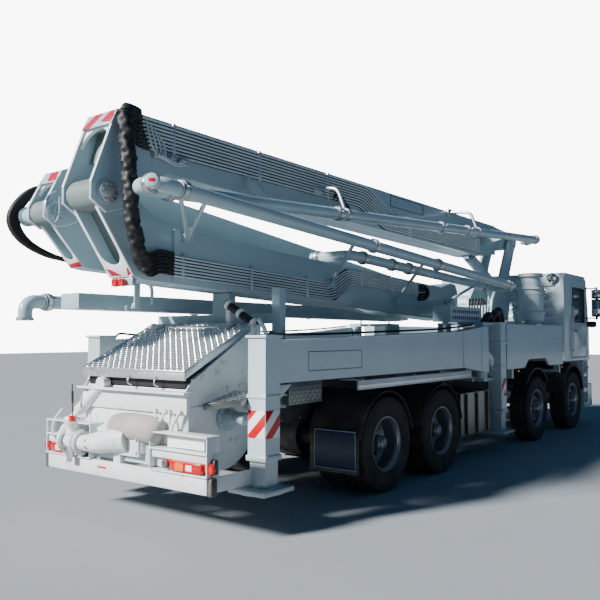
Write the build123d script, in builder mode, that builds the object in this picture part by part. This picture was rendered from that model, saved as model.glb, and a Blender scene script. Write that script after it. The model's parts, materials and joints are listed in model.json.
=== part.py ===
from build123d import *
import math
import os

# Concrete pump truck, in millimetres: +X forward, +Y left, +Z up, on the ground at Z 0.

# Axles, counted from the front, and how far each stands ahead of the rearmost one
REAR_AXLE_X = -2400
BOGIE_SPACING = 1350
WHEELBASE_GAP = 3500
STEER_SPACING = 1950
AXLE_3_X = REAR_AXLE_X + BOGIE_SPACING
AXLE_2_X = AXLE_3_X + WHEELBASE_GAP
AXLE_1_X = AXLE_2_X + STEER_SPACING

# Wheels
TYRE_RADIUS = 520
TYRE_WIDTH = 315
TYRE_FACE_Y = 1250
TYRE_WALL = 32
BEAD_RADIUS = 286
BEAD_HALF = 121
RIM_LIP_RADIUS = 300
RIM_LIP_HALF = 134
RIM_WALL = 12
TWIN_SPACING = 350
SINGLE_Y = TYRE_FACE_Y - TYRE_WIDTH / 2
TWIN_MID_Y = SINGLE_Y - TWIN_SPACING / 2
HUB_RADIUS = 105
SPINDLE_RADIUS = 62
RIM_HOLE_RADIUS = 24
RIM_HOLE_CIRCLE = 205
RIM_HOLES = 8
PIN_GAP = 0.3

# Chassis frame
RAIL_Z = 760
RAIL_DEPTH = 280
RAIL_FLANGE = 85
RAIL_WEB = 10
RAIL_OUTER_Y = 430
RAIL_REAR_X = -4060
RAIL_FRONT_X = 5380
RAIL_TOP_Z = RAIL_Z + RAIL_DEPTH
SUBFRAME_DEPTH = 140
SUBFRAME_REAR_X = -4000
SUBFRAME_FRONT_X = 3880
DECK_Z = RAIL_TOP_Z + SUBFRAME_DEPTH
SHELF_Z = DECK_Z + 70

# Arches over the steered wheels, hung on low stays
ARCH_WALL = 22
STAY_Z = 1082

# Steering knuckles and beams
KINGPIN_Y = 870
KINGPIN_RADIUS = 26
BEAM_EYE_RADIUS = 58
BEAM_EYE_HALF = 70
KNUCKLE_EAR = 46
DRUM_RADIUS = 195

# Cab
CAB_REAR_X = 4000
CAB_FRONT_X = 5600
CAB_HALF = 1220
CAB_FLOOR_Z = 1230
CAB_ROOF_Z = 2870
CAB_WALL = 55
DOOR_REAR_X = 4440
DOOR_FRONT_X = 5340
DOOR_SILL_Z = 1300
DOOR_TOP_Z = 2690
DOOR_GAP = 7
DOOR_HINGE_X = DOOR_FRONT_X + 5
DOOR_HINGE_Y = CAB_HALF + 9.5
WINDOW_SILL_Z = 1960
BUMPER_HALF = CAB_HALF + 15
STEP_WIDTH = 335
LAMP_Y = (BUMPER_HALF - 455, BUMPER_HALF - 85)
LAMP_Z = (500, 680)
MIRROR_X = CAB_FRONT_X - 100
MIRROR_Y = CAB_HALF + 180
MIRROR_ARM_Z = (2050, 2640)
GLASS = 6
GLASS_GAP = 0.3

# Slewing pedestal and turret
SLEW_X = 3350
PEDESTAL_RADIUS = 430
PEDESTAL_TOP_Z = 1850
BEARING_RADIUS = 500
BEARING_DEPTH = 50
TURRET_BASE_Z = PEDESTAL_TOP_Z + BEARING_DEPTH + PIN_GAP
TURRET_BASE_DEPTH = 60
TURRET_PLATE_IN = 200
TURRET_PLATE = 45

# Boom pivots as (x, z), seen from the side, and the lanes of the sections as (low y, high y)
FOOT = (4050, 3500)
FOLD_AB = (-5400, 2940)
FOLD_BC = (1600, 2400)
FOLD_CD = (-5400, 2850)
FOLD_DE = (1250, 2125)
LANE_AB = (-210, 210)
LANE_CE = (515, 795)
FORK_PLATE = 28
LANE_GAP = 9
FOLD_PIN_RADIUS = 55
SLOT_CHEEK = 35
SLOT_DEPTH = 130
FOOT_PIN_RADIUS = 60

# Concrete pipe
PIPE_RADIUS = 67
PIPE_FOOT_Y = -760
PIPE_FOLD_Y = -570
PIPE_SWIVEL_Y = -710
LOWER_PIPE_Y = -850
RETURN_PIPE_Y = -430
PIPE_BEND = 130
LEFT_PIPE_Y = 960
PIPE_FRONT = (2500, 2530)
PIPE_CROSSING = (-1900, 2700)
TIP_PIPE_Z = 2030
TIP_X = -5430
DELIVERY_Y = 620
DELIVERY_Z = 1175

# Lift cylinder, pins as (x, z)
LIFT_FOOT = (3830, 2600)
LIFT_EYE = (2500, 3150)
LIFT_BARREL_RADIUS = 98
LIFT_ROD_RADIUS = 60
LIFT_EYE_RADIUS = 85

# Outriggers and their jacks
SWING_HINGE_X = 540
SWING_HINGE_Y = 1080
HINGE_LOW = (1050, 1090)
HINGE_HIGH = (1855, 1895)
HINGE_PIN_RADIUS = 45
SWING_LEG_X = -4400
LEG_SIZE = 200
LEG_Y = 1150
LEG_WALL = 12
INNER_LEG_GAP = 0.5
FRONT_LEG_X = 960
FRONT_LEG_STEP = 230
FOOT_RADIUS = 205
FOOT_DEPTH = 45
REAR_FOOT_Z = 330
FRONT_FOOT_Z = 270

# Boom rest, its posts as (right, left) distances from the middle
REST_X = -3700
REST_POST_Y = (750, 930)
REST_ARM_Z = (1825, 1925)

# Air cleaner on the right walkway, and the oil cooler's box above the swing bracket
CLEANER = (3000, -960)
COOLER_X = (-300, 700)
COOLER_Y = (-1010, -740)

# Hopper
HOPPER_REAR_X = -4900
HOPPER_FRONT_X = -4080
HOPPER_HALF = 700
HOPPER_RIM_Z = 1210
HOPPER_WALL = 12
COVER_REAR_Z = 1370
COVER_FRONT_Z = 1800
COVER_HINGE = (HOPPER_FRONT_X + 30, COVER_FRONT_Z)
COVER_PIN_RADIUS = 20
COVER_HALF = HOPPER_HALF - 6


def block(x, y, z, mode=Mode.ADD):
    """A box that fills the ranges x, y and z."""
    with Locations(((x[0] + x[1]) / 2, (y[0] + y[1]) / 2, (z[0] + z[1]) / 2)):
        Box(x[1] - x[0], y[1] - y[0], z[1] - z[0], mode=mode)


def rod(start, end, radius, mode=Mode.ADD):
    """A round bar from one point to another."""
    run = Vector(*end) - Vector(*start)
    with BuildSketch(Plane(origin=start, z_dir=run)) as section:
        Circle(radius)
    extrude(section.sketch, amount=run.length, mode=mode)


def side_plate(points, y, mode=Mode.ADD):
    """A plate with a side outline of (x, z) points that fills the range y."""
    with BuildSketch(Plane.XZ.offset(-y[1])) as outline:
        with BuildLine():
            Polyline(*points, close=True)
        make_face()
    extrude(outline.sketch, amount=y[1] - y[0], mode=mode)


def cross_pin(pivot, y, radius, mode=Mode.ADD):
    """A round bar along Y at an (x, z) pivot."""
    rod((pivot[0], y[0], pivot[1]), (pivot[0], y[1], pivot[1]), radius, mode)


def front_plate(points, x, mode=Mode.ADD):
    """A plate with a front outline of (y, z) points that fills the range x."""
    with BuildSketch(Plane.YZ.offset(x[0])) as outline:
        with BuildLine():
            Polyline(*points, close=True)
        make_face()
    extrude(outline.sketch, amount=x[1] - x[0], mode=mode)


def end_slot(start, end, mid_y, half_width, depth):
    """A round-ended slot sunk into a boom's rear face along the line from start to end, as (x, z)."""
    run = Vector(end[0] - start[0], 0, end[1] - start[1])
    face = Plane(origin=(start[0], mid_y, start[1]), x_dir=run, z_dir=run.cross(Vector(0, 1, 0)))
    with BuildSketch(face) as opening:
        with Locations((run.length / 2, 0)):
            Rectangle(run.length, 2 * half_width)
        with Locations((run.length, 0)):
            Circle(half_width)
    extrude(opening.sketch, amount=depth, both=True, mode=Mode.SUBTRACT)


def pipe_run(points, bend, radius):
    """A round pipe along straight runs joined by tangent bends."""
    with BuildLine() as route:
        if len(points) > 2:
            FilletPolyline(*points, radius=bend)
        else:
            Polyline(*points)
    start = Vector(*points[0])
    with BuildSketch(Plane(origin=start, z_dir=Vector(*points[1]) - start)) as section:
        Circle(radius)
    sweep(section.sketch, path=route.line)


def save(piece, label):
    """Name a finished piece and write it."""
    piece.part.label = label
    export_step(piece.part, "parts/" + label + ".step")


os.makedirs("parts", exist_ok=True)

# Wheels: one table row per wheel body, as (name, axle x, tyre mid planes, side, twin)
wheels = []
for side_name, side in (("left", 1), ("right", -1)):
    wheels.append(("wheel_1_" + side_name, AXLE_1_X, [SINGLE_Y * side], side, False))
    wheels.append(("wheel_2_" + side_name, AXLE_2_X, [SINGLE_Y * side], side, False))
    twins = [SINGLE_Y * side, (SINGLE_Y - TWIN_SPACING) * side]
    wheels.append(("wheel_3_" + side_name, AXLE_3_X, twins, side, True))
    wheels.append(("wheel_4_" + side_name, REAR_AXLE_X, twins, side, True))

half = TYRE_WIDTH / 2
shoulder_half = half - 30
shoulder_radius = TYRE_RADIUS - 28
bulge_radius = (BEAD_RADIUS + TYRE_RADIUS) / 2
for name, axle_x, tyre_planes, side, twin in wheels:
    spin_axis = Axis((axle_x, 0, TYRE_RADIUS), (0, 1, 0))
    with BuildPart() as tyre:
        for mid_y in tyre_planes:
            wheel_plane = Plane(
                origin=(axle_x, mid_y, TYRE_RADIUS), x_dir=(0, side, 0), z_dir=(side, 0, 0)
            )
            with BuildSketch(wheel_plane):
                with BuildLine():
                    Line((-BEAD_HALF + 2, BEAD_RADIUS), (-BEAD_HALF + 2, RIM_LIP_RADIUS + 3))
                    ThreePointArc(
                        (-BEAD_HALF + 2, RIM_LIP_RADIUS + 3),
                        (-half, bulge_radius),
                        (-half + 12, shoulder_radius),
                    )
                    Line((-half + 12, shoulder_radius), (-shoulder_half, TYRE_RADIUS))
                    Line((-shoulder_half, TYRE_RADIUS), (shoulder_half, TYRE_RADIUS))
                    Line((shoulder_half, TYRE_RADIUS), (half - 12, shoulder_radius))
                    ThreePointArc(
                        (half - 12, shoulder_radius),
                        (half, bulge_radius),
                        (BEAD_HALF - 2, RIM_LIP_RADIUS + 3),
                    )
                    Line((BEAD_HALF - 2, RIM_LIP_RADIUS + 3), (BEAD_HALF - 2, BEAD_RADIUS))
                    Line((BEAD_HALF - 2, BEAD_RADIUS), (BEAD_HALF - TYRE_WALL, BEAD_RADIUS))
                    Line((BEAD_HALF - TYRE_WALL, BEAD_RADIUS), (half - TYRE_WALL, bulge_radius))
                    Line((half - TYRE_WALL, bulge_radius), (half - TYRE_WALL - 20, TYRE_RADIUS - TYRE_WALL))
                    Line(
                        (half - TYRE_WALL - 20, TYRE_RADIUS - TYRE_WALL),
                        (TYRE_WALL + 20 - half, TYRE_RADIUS - TYRE_WALL),
                    )
                    Line((TYRE_WALL + 20 - half, TYRE_RADIUS - TYRE_WALL), (TYRE_WALL - half, bulge_radius))
                    Line((TYRE_WALL - half, bulge_radius), (TYRE_WALL - BEAD_HALF, BEAD_RADIUS))
                    Line((TYRE_WALL - BEAD_HALF, BEAD_RADIUS), (-BEAD_HALF + 2, BEAD_RADIUS))
                make_face()
            revolve(axis=spin_axis)
    save(tyre, name + "_tyre")

    barrel_radius = BEAD_RADIUS - PIN_GAP
    inner_radius = barrel_radius - RIM_WALL
    # How far the hub's flange stands out from the mid plane of the outer tyre
    flange_out = -TWIN_SPACING / 2 + 30 if twin else 88
    hub_end = 60 if twin else 128
    hub_start = -TWIN_SPACING / 2 - 60 if twin else 10
    with BuildPart() as rim:
        for index, mid_y in enumerate(tyre_planes):
            wheel_plane = Plane(
                origin=(axle_x, mid_y, TYRE_RADIUS), x_dir=(0, side, 0), z_dir=(side, 0, 0)
            )
            with BuildSketch(wheel_plane):
                with BuildLine():
                    Polyline(
                        (-RIM_LIP_HALF, RIM_LIP_RADIUS),
                        (-BEAD_HALF, RIM_LIP_RADIUS),
                        (-BEAD_HALF, barrel_radius),
                        (BEAD_HALF, barrel_radius),
                        (BEAD_HALF, RIM_LIP_RADIUS),
                        (RIM_LIP_HALF, RIM_LIP_RADIUS),
                        (RIM_LIP_HALF, RIM_LIP_RADIUS - RIM_WALL),
                        (BEAD_HALF, inner_radius),
                        (-BEAD_HALF, inner_radius),
                        (-RIM_LIP_HALF, RIM_LIP_RADIUS - RIM_WALL),
                        close=True,
                    )
                make_face()
            revolve(axis=spin_axis)
        outer_plane = Plane(
            origin=(axle_x, tyre_planes[0], TYRE_RADIUS), x_dir=(0, side, 0), z_dir=(side, 0, 0)
        )
        # The dished disc of each tyre's rim, as (edge offset, flange offset)
        if twin:
            discs = [(-70, flange_out), (70 - TWIN_SPACING, -TWIN_SPACING / 2 - 30)]
        else:
            discs = [(20, flange_out)]
        for edge_out, disc_out in discs:
            with BuildSketch(outer_plane):
                with BuildLine():
                    Polyline(
                        (edge_out, inner_radius + 4),
                        (edge_out + 14, inner_radius + 4),
                        (disc_out + 14, 165),
                        (disc_out + 14, HUB_RADIUS - 10),
                        (disc_out, HUB_RADIUS - 10),
                        (disc_out, 165),
                        close=True,
                    )
                make_face()
            revolve(axis=spin_axis)
        with BuildSketch(outer_plane):
            with BuildLine():
                Polyline(
                    (hub_start, SPINDLE_RADIUS + PIN_GAP),
                    (hub_end, SPINDLE_RADIUS + PIN_GAP),
                    (hub_end, HUB_RADIUS - 15),
                    (flange_out + 30, HUB_RADIUS),
                    (hub_start, HUB_RADIUS),
                    close=True,
                )
            make_face()
        revolve(axis=spin_axis)
        face = Plane(
            origin=(axle_x, tyre_planes[0] + side * 130, TYRE_RADIUS), z_dir=(0, side, 0)
        )
        with BuildSketch(face):
            with PolarLocations(RIM_HOLE_CIRCLE, RIM_HOLES):
                Circle(RIM_HOLE_RADIUS)
        extrude(amount=-(TWIN_SPACING + 260) if twin else -260, mode=Mode.SUBTRACT)
    save(rim, name + "_rim")

# Chassis frame: two channel rails, cross members and the pump's subframe
with BuildPart() as chassis_frame:
    for side in (1, -1):
        rail_in = RAIL_OUTER_Y - RAIL_FLANGE
        rail_y = sorted((side * RAIL_OUTER_Y, side * rail_in))
        block((RAIL_REAR_X, RAIL_FRONT_X), rail_y, (RAIL_Z, RAIL_TOP_Z))
        channel_y = sorted((side * (RAIL_OUTER_Y - RAIL_WEB), side * (rail_in - 1)))
        block(
            (RAIL_REAR_X - 1, RAIL_FRONT_X + 1),
            channel_y,
            (RAIL_Z + RAIL_WEB, RAIL_TOP_Z - RAIL_WEB),
            Mode.SUBTRACT,
        )
        block((SUBFRAME_REAR_X, SUBFRAME_FRONT_X), rail_y, (RAIL_TOP_Z, DECK_Z))
        for mount_x in (CAB_REAR_X + 20, CAB_FRONT_X - 400):
            block((mount_x, mount_x + 120), rail_y, (RAIL_TOP_Z, CAB_FLOOR_Z - PIN_GAP))
    for member_x in (RAIL_REAR_X + 60, -3000, -1725, -400, 800, 1700, 3350, 5300):
        block(
            (member_x - 45, member_x + 45),
            (RAIL_WEB - RAIL_OUTER_Y, RAIL_OUTER_Y - RAIL_WEB),
            (RAIL_Z + 60, RAIL_TOP_Z - RAIL_WEB),
        )
save(chassis_frame, "chassis_frame")

# Axles: two steered beams on leaf springs, and the driven pair on its rocking springs
spring_y = (RAIL_OUTER_Y - RAIL_FLANGE, RAIL_OUTER_Y)
with BuildPart() as axles:
    for beam_x in (AXLE_1_X, AXLE_2_X):
        front_plate(
            [
                (-KINGPIN_Y, TYRE_RADIUS + 45),
                (-KINGPIN_Y, TYRE_RADIUS - 50),
                (-KINGPIN_Y + 80, TYRE_RADIUS - 50),
                (-620, TYRE_RADIUS - 140),
                (620, TYRE_RADIUS - 140),
                (KINGPIN_Y - 80, TYRE_RADIUS - 50),
                (KINGPIN_Y, TYRE_RADIUS - 50),
                (KINGPIN_Y, TYRE_RADIUS + 45),
                (600, TYRE_RADIUS - 40),
                (-600, TYRE_RADIUS - 40),
            ],
            (beam_x - 42, beam_x + 42),
        )
        for side in (1, -1):
            pin_y = side * KINGPIN_Y
            rod(
                (beam_x, pin_y, TYRE_RADIUS - BEAM_EYE_HALF),
                (beam_x, pin_y, TYRE_RADIUS + BEAM_EYE_HALF),
                BEAM_EYE_RADIUS,
            )
            rod(
                (beam_x, pin_y, TYRE_RADIUS - BEAM_EYE_HALF),
                (beam_x, pin_y, TYRE_RADIUS + BEAM_EYE_HALF),
                KINGPIN_RADIUS + PIN_GAP,
                Mode.SUBTRACT,
            )
            leaf_y = sorted((side * spring_y[0], side * spring_y[1]))
            side_plate(
                [
                    (beam_x - 760, RAIL_Z),
                    (beam_x - 760, 640),
                    (beam_x - 300, TYRE_RADIUS + 5),
                    (beam_x - 80, TYRE_RADIUS - 40),
                    (beam_x + 80, TYRE_RADIUS - 40),
                    (beam_x + 300, TYRE_RADIUS + 5),
                    (beam_x + 760, 640),
                    (beam_x + 760, RAIL_Z),
                    (beam_x + 690, RAIL_Z),
                    (beam_x + 690, 700),
                    (beam_x + 260, TYRE_RADIUS + 70),
                    (beam_x - 260, TYRE_RADIUS + 70),
                    (beam_x - 690, 700),
                    (beam_x - 690, RAIL_Z),
                ],
                leaf_y,
            )
    for tube_x in (AXLE_3_X, REAR_AXLE_X):
        rod((tube_x, -1150, TYRE_RADIUS), (tube_x, 1150, TYRE_RADIUS), SPINDLE_RADIUS)
        rod((tube_x, -640, TYRE_RADIUS), (tube_x, 640, TYRE_RADIUS), 88)
        rod((tube_x, -130, TYRE_RADIUS), (tube_x, 130, TYRE_RADIUS), 215)
        for side in (1, -1):
            drum_y = sorted((side * 640, side * (TWIN_MID_Y - 100)))
            rod((tube_x, drum_y[0], TYRE_RADIUS), (tube_x, drum_y[1], TYRE_RADIUS), 100)
    bogie_x = (AXLE_3_X + REAR_AXLE_X) / 2
    for side in (1, -1):
        leaf_y = sorted((side * spring_y[0], side * spring_y[1]))
        side_plate(
            [
                (REAR_AXLE_X - 90, TYRE_RADIUS + 40),
                (AXLE_3_X + 90, TYRE_RADIUS + 40),
                (AXLE_3_X + 90, TYRE_RADIUS + 110),
                (bogie_x + 90, RAIL_Z),
                (bogie_x - 90, RAIL_Z),
                (REAR_AXLE_X - 90, TYRE_RADIUS + 110),
            ],
            leaf_y,
        )
    rod((AXLE_3_X + 100, 0, TYRE_RADIUS + 30), (2900, 0, 700), 48)
    block((2880, 3240), (-190, 190), (600, 860))
save(axles, "axles")

# Knuckles: two ears and a kingpin round the beam's eye, a brake drum and the wheel's spindle
for number, beam_x in ((1, AXLE_1_X), (2, AXLE_2_X)):
    for side_name, side in (("left", 1), ("right", -1)):
        pin_y = side * KINGPIN_Y
        ear_low = TYRE_RADIUS - BEAM_EYE_HALF - PIN_GAP
        ear_high = TYRE_RADIUS + BEAM_EYE_HALF + PIN_GAP
        with BuildPart() as knuckle:
            rod((beam_x, pin_y, ear_low), (beam_x, pin_y, ear_high), KINGPIN_RADIUS)
            for ear_z in ((ear_low - KNUCKLE_EAR, ear_low), (ear_high, ear_high + KNUCKLE_EAR)):
                rod((beam_x, pin_y, ear_z[0]), (beam_x, pin_y, ear_z[1]), BEAM_EYE_RADIUS)
                ear_y = sorted((pin_y, pin_y + side * 90))
                block((beam_x - 50, beam_x + 50), ear_y, ear_z)
            drum_y = (pin_y + side * 68, pin_y + side * 150)
            rod((beam_x, drum_y[0], TYRE_RADIUS), (beam_x, drum_y[1], TYRE_RADIUS), DRUM_RADIUS)
            spindle_end = side * (SINGLE_Y + 110)
            rod((beam_x, drum_y[1], TYRE_RADIUS), (beam_x, spindle_end, TYRE_RADIUS), SPINDLE_RADIUS)
        save(knuckle, "knuckle_" + str(number) + "_" + side_name)

# Engine, as one plain block between the rails
with BuildPart() as engine_block:
    engine_half = RAIL_OUTER_Y - RAIL_FLANGE - PIN_GAP
    block((4100, 5250), (-engine_half, engine_half), (640, 1180))
save(engine_block, "engine_block")

# Cab shell: a hollow box with its front and side openings
cab_outline = [
    (CAB_REAR_X, CAB_FLOOR_Z),
    (CAB_REAR_X, CAB_ROOF_Z - 90),
    (CAB_REAR_X + 90, CAB_ROOF_Z),
    (CAB_FRONT_X - 280, CAB_ROOF_Z),
    (CAB_FRONT_X - 160, CAB_ROOF_Z - 80),
    (CAB_FRONT_X, WINDOW_SILL_Z - 120),
    (CAB_FRONT_X, CAB_FLOOR_Z),
]
cab_inside = [
    (CAB_REAR_X + CAB_WALL, CAB_FLOOR_Z + CAB_WALL),
    (CAB_REAR_X + CAB_WALL, CAB_ROOF_Z - 90 - CAB_WALL / 2),
    (CAB_REAR_X + 90 + CAB_WALL / 2, CAB_ROOF_Z - CAB_WALL),
    (CAB_FRONT_X - 300, CAB_ROOF_Z - CAB_WALL),
    (CAB_FRONT_X - 210, CAB_ROOF_Z - 110),
    (CAB_FRONT_X - CAB_WALL, WINDOW_SILL_Z - 125),
    (CAB_FRONT_X - CAB_WALL, CAB_FLOOR_Z + CAB_WALL),
]
screen_in = CAB_HALF - 110
with BuildPart() as cab_shell:
    side_plate(cab_outline, (-CAB_HALF, CAB_HALF))
    side_plate(cab_inside, (CAB_WALL - CAB_HALF, CAB_HALF - CAB_WALL), Mode.SUBTRACT)
    for side in (1, -1):
        wall_y = sorted((side * (CAB_HALF - CAB_WALL - 1), side * (CAB_HALF + 1)))
        block(
            (DOOR_REAR_X, DOOR_FRONT_X),
            wall_y,
            (DOOR_SILL_Z, DOOR_TOP_Z),
            Mode.SUBTRACT,
        )
    block(
        (CAB_FRONT_X - 260, CAB_FRONT_X + 1),
        (-screen_in, screen_in),
        (WINDOW_SILL_Z - 80, DOOR_TOP_Z + 30),
        Mode.SUBTRACT,
    )
save(cab_shell, "cab_shell")

# Windscreen: a slanted pane in the front opening
with BuildPart() as windscreen:
    screen_slope = 160 / (CAB_ROOF_Z - 80 - (WINDOW_SILL_Z - 120))
    screen_low = WINDOW_SILL_Z - 80 + GLASS_GAP
    screen_high = DOOR_TOP_Z + 30 - GLASS_GAP
    screen_low_x = CAB_FRONT_X - 20 - (screen_low - WINDOW_SILL_Z + 120) * screen_slope
    screen_high_x = CAB_FRONT_X - 20 - (screen_high - WINDOW_SILL_Z + 120) * screen_slope
    side_plate(
        [
            (screen_low_x, screen_low),
            (screen_low_x - GLASS, screen_low),
            (screen_high_x - GLASS, screen_high),
            (screen_high_x, screen_high),
        ],
        (GLASS_GAP - screen_in, screen_in - GLASS_GAP),
    )
save(windscreen, "windscreen")

# Cab interior: dashboard, steering wheel and two seats
floor_z = CAB_FLOOR_Z + CAB_WALL + PIN_GAP
with BuildPart() as cab_interior:
    block(
        (CAB_FRONT_X - 420, CAB_FRONT_X - CAB_WALL - 20),
        (CAB_WALL - CAB_HALF + 30, CAB_HALF - CAB_WALL - 30),
        (1560, WINDOW_SILL_Z - 100),
    )
    block((5280, 5450), (-150, 150), (floor_z, 1560))
    wheel_centre = (5080, 620, 1900)
    rod((5200, 620, 1760), wheel_centre, 30)
    with Locations(Plane(origin=wheel_centre, z_dir=(-0.6, 0, 0.8))):
        Torus(215, 17)
        Box(400, 34, 16)
    for seat_y in (620, -620):
        block((4480, 4960), (seat_y - 250, seat_y + 250), (1620, 1740))
        block((4560, 4880), (seat_y - 180, seat_y + 180), (floor_z, 1620))
        side_plate(
            [(4420, 1650), (4560, 1700), (4430, 2480), (4330, 2480)],
            (seat_y - 240, seat_y + 240),
        )
save(cab_interior, "cab_interior")

# Doors: a panel as thick as the wall, its window opening and its pane
door_in = CAB_HALF - CAB_WALL
for side_name, side in (("left", 1), ("right", -1)):
    door_x = (DOOR_REAR_X + DOOR_GAP, DOOR_FRONT_X - DOOR_GAP)
    door_z = (DOOR_SILL_Z + DOOR_GAP, DOOR_TOP_Z - DOOR_GAP)
    door_y = sorted((side * door_in, side * CAB_HALF))
    pane_x = (DOOR_REAR_X + 75, DOOR_FRONT_X - 90)
    pane_z = (WINDOW_SILL_Z, DOOR_TOP_Z - 75)
    with BuildPart() as door:
        block(door_x, door_y, door_z)
        block(pane_x, (door_y[0] - 1, door_y[1] + 1), pane_z, Mode.SUBTRACT)
        handle_y = sorted((side * (CAB_HALF - 1), side * (CAB_HALF + 28)))
        block((DOOR_REAR_X + 50, DOOR_REAR_X + 210), handle_y, (1780, 1815))
        for hinge_z in (1480, 1860):
            hinge_y = side * DOOR_HINGE_Y
            rod((DOOR_HINGE_X, hinge_y, hinge_z), (DOOR_HINGE_X, hinge_y, hinge_z + 90), 9)
            leaf_y = sorted((side * (CAB_HALF - 1), side * (CAB_HALF + 12)))
            block((DOOR_FRONT_X - 90, DOOR_FRONT_X - DOOR_GAP), leaf_y, (hinge_z + 5, hinge_z + 85))
            tongue_y = sorted((side * (CAB_HALF + 6), side * (CAB_HALF + 12)))
            block((DOOR_FRONT_X - 20, DOOR_HINGE_X), tongue_y, (hinge_z + 5, hinge_z + 85))
    save(door, "door_" + side_name)
    with BuildPart() as door_glass:
        glass_y = sorted((side * (CAB_HALF - 20), side * (CAB_HALF - 20 - GLASS)))
        block(
            (pane_x[0] + GLASS_GAP, pane_x[1] - GLASS_GAP),
            glass_y,
            (pane_z[0] + GLASS_GAP, pane_z[1] - GLASS_GAP),
        )
    save(door_glass, "door_" + side_name + "_glass")

# Front end under the cab: bumper, grille bars, steps and hinge blocks
bumper_low = 330
bumper_top = CAB_FLOOR_Z - PIN_GAP
with BuildPart() as front_end:
    block((CAB_FRONT_X - 190, CAB_FRONT_X + 60), (-BUMPER_HALF, BUMPER_HALF), (bumper_low, 760))
    block((RAIL_FRONT_X, CAB_FRONT_X + 20), (40 - CAB_HALF, CAB_HALF - 40), (760, bumper_top))
    block((CAB_FRONT_X - 60, CAB_FRONT_X + 21), (-620, 620), (820, 1190), Mode.SUBTRACT)
    for bar_z in (870, 950, 1030, 1110):
        block((CAB_FRONT_X - 60, CAB_FRONT_X + 12), (-622, 622), (bar_z, bar_z + 34))
    for side in (1, -1):
        step_y = sorted((side * (BUMPER_HALF - STEP_WIDTH), side * BUMPER_HALF))
        block((5100, CAB_FRONT_X - 189), step_y, (bumper_low, bumper_top))
        well_y = sorted((side * (BUMPER_HALF - 145), side * (BUMPER_HALF + 1)))
        for step_z in (390, 690, 980):
            block((5130, CAB_FRONT_X - 240), well_y, (step_z, step_z + 220), Mode.SUBTRACT)
        lamp_y = sorted((side * LAMP_Y[0], side * LAMP_Y[1]))
        block((CAB_FRONT_X + 20, CAB_FRONT_X + 61), lamp_y, LAMP_Z, Mode.SUBTRACT)
save(front_end, "front_end")

# Lamps: headlamps, front markers, and the rear clusters
with BuildPart() as lamps:
    for side in (1, -1):
        lamp_y = sorted((side * (LAMP_Y[0] + 1), side * (LAMP_Y[1] - 1)))
        block((CAB_FRONT_X + 20, CAB_FRONT_X + 52), lamp_y, (LAMP_Z[0] + 1, LAMP_Z[1] - 1))
        cluster_y = sorted((side * 560, side * 1090))
        block((-5045, -5010), cluster_y, (600, 720))
save(lamps, "lamps")

# Mirrors on arms at the front pillars
with BuildPart() as mirrors:
    for side in (1, -1):
        for arm_z in MIRROR_ARM_Z:
            base_y = sorted((side * CAB_HALF, side * (CAB_HALF + 10)))
            block((MIRROR_X - 105, MIRROR_X - 50), base_y, (arm_z - 30, arm_z + 30))
            arm_start = (MIRROR_X - 75, side * (CAB_HALF + 8), arm_z)
            rod(arm_start, (MIRROR_X - 5, side * (MIRROR_Y - 5), arm_z), 13)
        post_y = sorted((side * (MIRROR_Y - 18), side * (MIRROR_Y + 18)))
        post_z = (MIRROR_ARM_Z[0] - 30, MIRROR_ARM_Z[1] + 30)
        block((MIRROR_X - 18, MIRROR_X + 18), post_y, post_z)
        block_y = sorted((side * (MIRROR_Y - 90), side * (MIRROR_Y + 90)))
        block((MIRROR_X - 45, MIRROR_X + 45), block_y, (2080, 2420))
        block((MIRROR_X - 45, MIRROR_X + 45), block_y, (2440, 2610))
save(mirrors, "mirrors")

# Fenders over the wheels, with their hangers, and the rear mud flaps
with BuildPart() as fenders:
    fender_radius = TYRE_RADIUS + 48
    for side in (1, -1):
        fender_y = sorted((side * 575, side * 1245))
        for tube_x in (AXLE_3_X, REAR_AXLE_X):
            cross_pin((tube_x, TYRE_RADIUS), fender_y, fender_radius + 8)
            cross_pin((tube_x, TYRE_RADIUS), fender_y, fender_radius, Mode.SUBTRACT)
        block((-4000, 400), (fender_y[0] - 1, fender_y[1] + 1), (-200, 620), Mode.SUBTRACT)
    for side in (1, -1):
        flap_y = sorted((side * 600, side * 1220))
        block((REAR_AXLE_X - fender_radius - 6, REAR_AXLE_X - fender_radius + 4), flap_y, (260, 640))
        hanger_y = sorted((side * RAIL_OUTER_Y, side * 600))
        for hanger_x in (REAR_AXLE_X, AXLE_3_X):
            block((hanger_x - 30, hanger_x + 30), hanger_y, (1050, 1096))
        # Arches over the steered wheels, as (axle x, radius, half angle in degrees)
        for arch_x, arch_radius, half_angle in ((AXLE_1_X, 650, 75), (AXLE_2_X, 640, 50)):
            arch_y = sorted((side * 940, side * 1245))
            cut_z = TYRE_RADIUS + arch_radius * math.cos(math.radians(half_angle))
            with BuildSketch(Plane.XZ.offset(-arch_y[1])) as arch:
                with Locations((arch_x, TYRE_RADIUS)):
                    Circle(arch_radius + ARCH_WALL)
                    Circle(arch_radius, mode=Mode.SUBTRACT)
                with Locations((arch_x, cut_z - arch_radius)):
                    Rectangle(3 * arch_radius, 2 * arch_radius, mode=Mode.SUBTRACT)
            extrude(arch.sketch, amount=arch_y[1] - arch_y[0])
            stay_x = (arch_x - 30, arch_x + 30)
            stay_y = sorted((side * RAIL_OUTER_Y, side * 960))
            block(stay_x, stay_y, (STAY_Z, STAY_Z + 20))
            root_y = sorted((side * RAIL_OUTER_Y, side * (RAIL_OUTER_Y + 20)))
            block(stay_x, root_y, (RAIL_TOP_Z - 60, STAY_Z + 20))
            riser_y = sorted((side * 940, side * 960))
            block(stay_x, riser_y, (STAY_Z, TYRE_RADIUS + arch_radius + 2))
save(fenders, "fenders")

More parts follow.
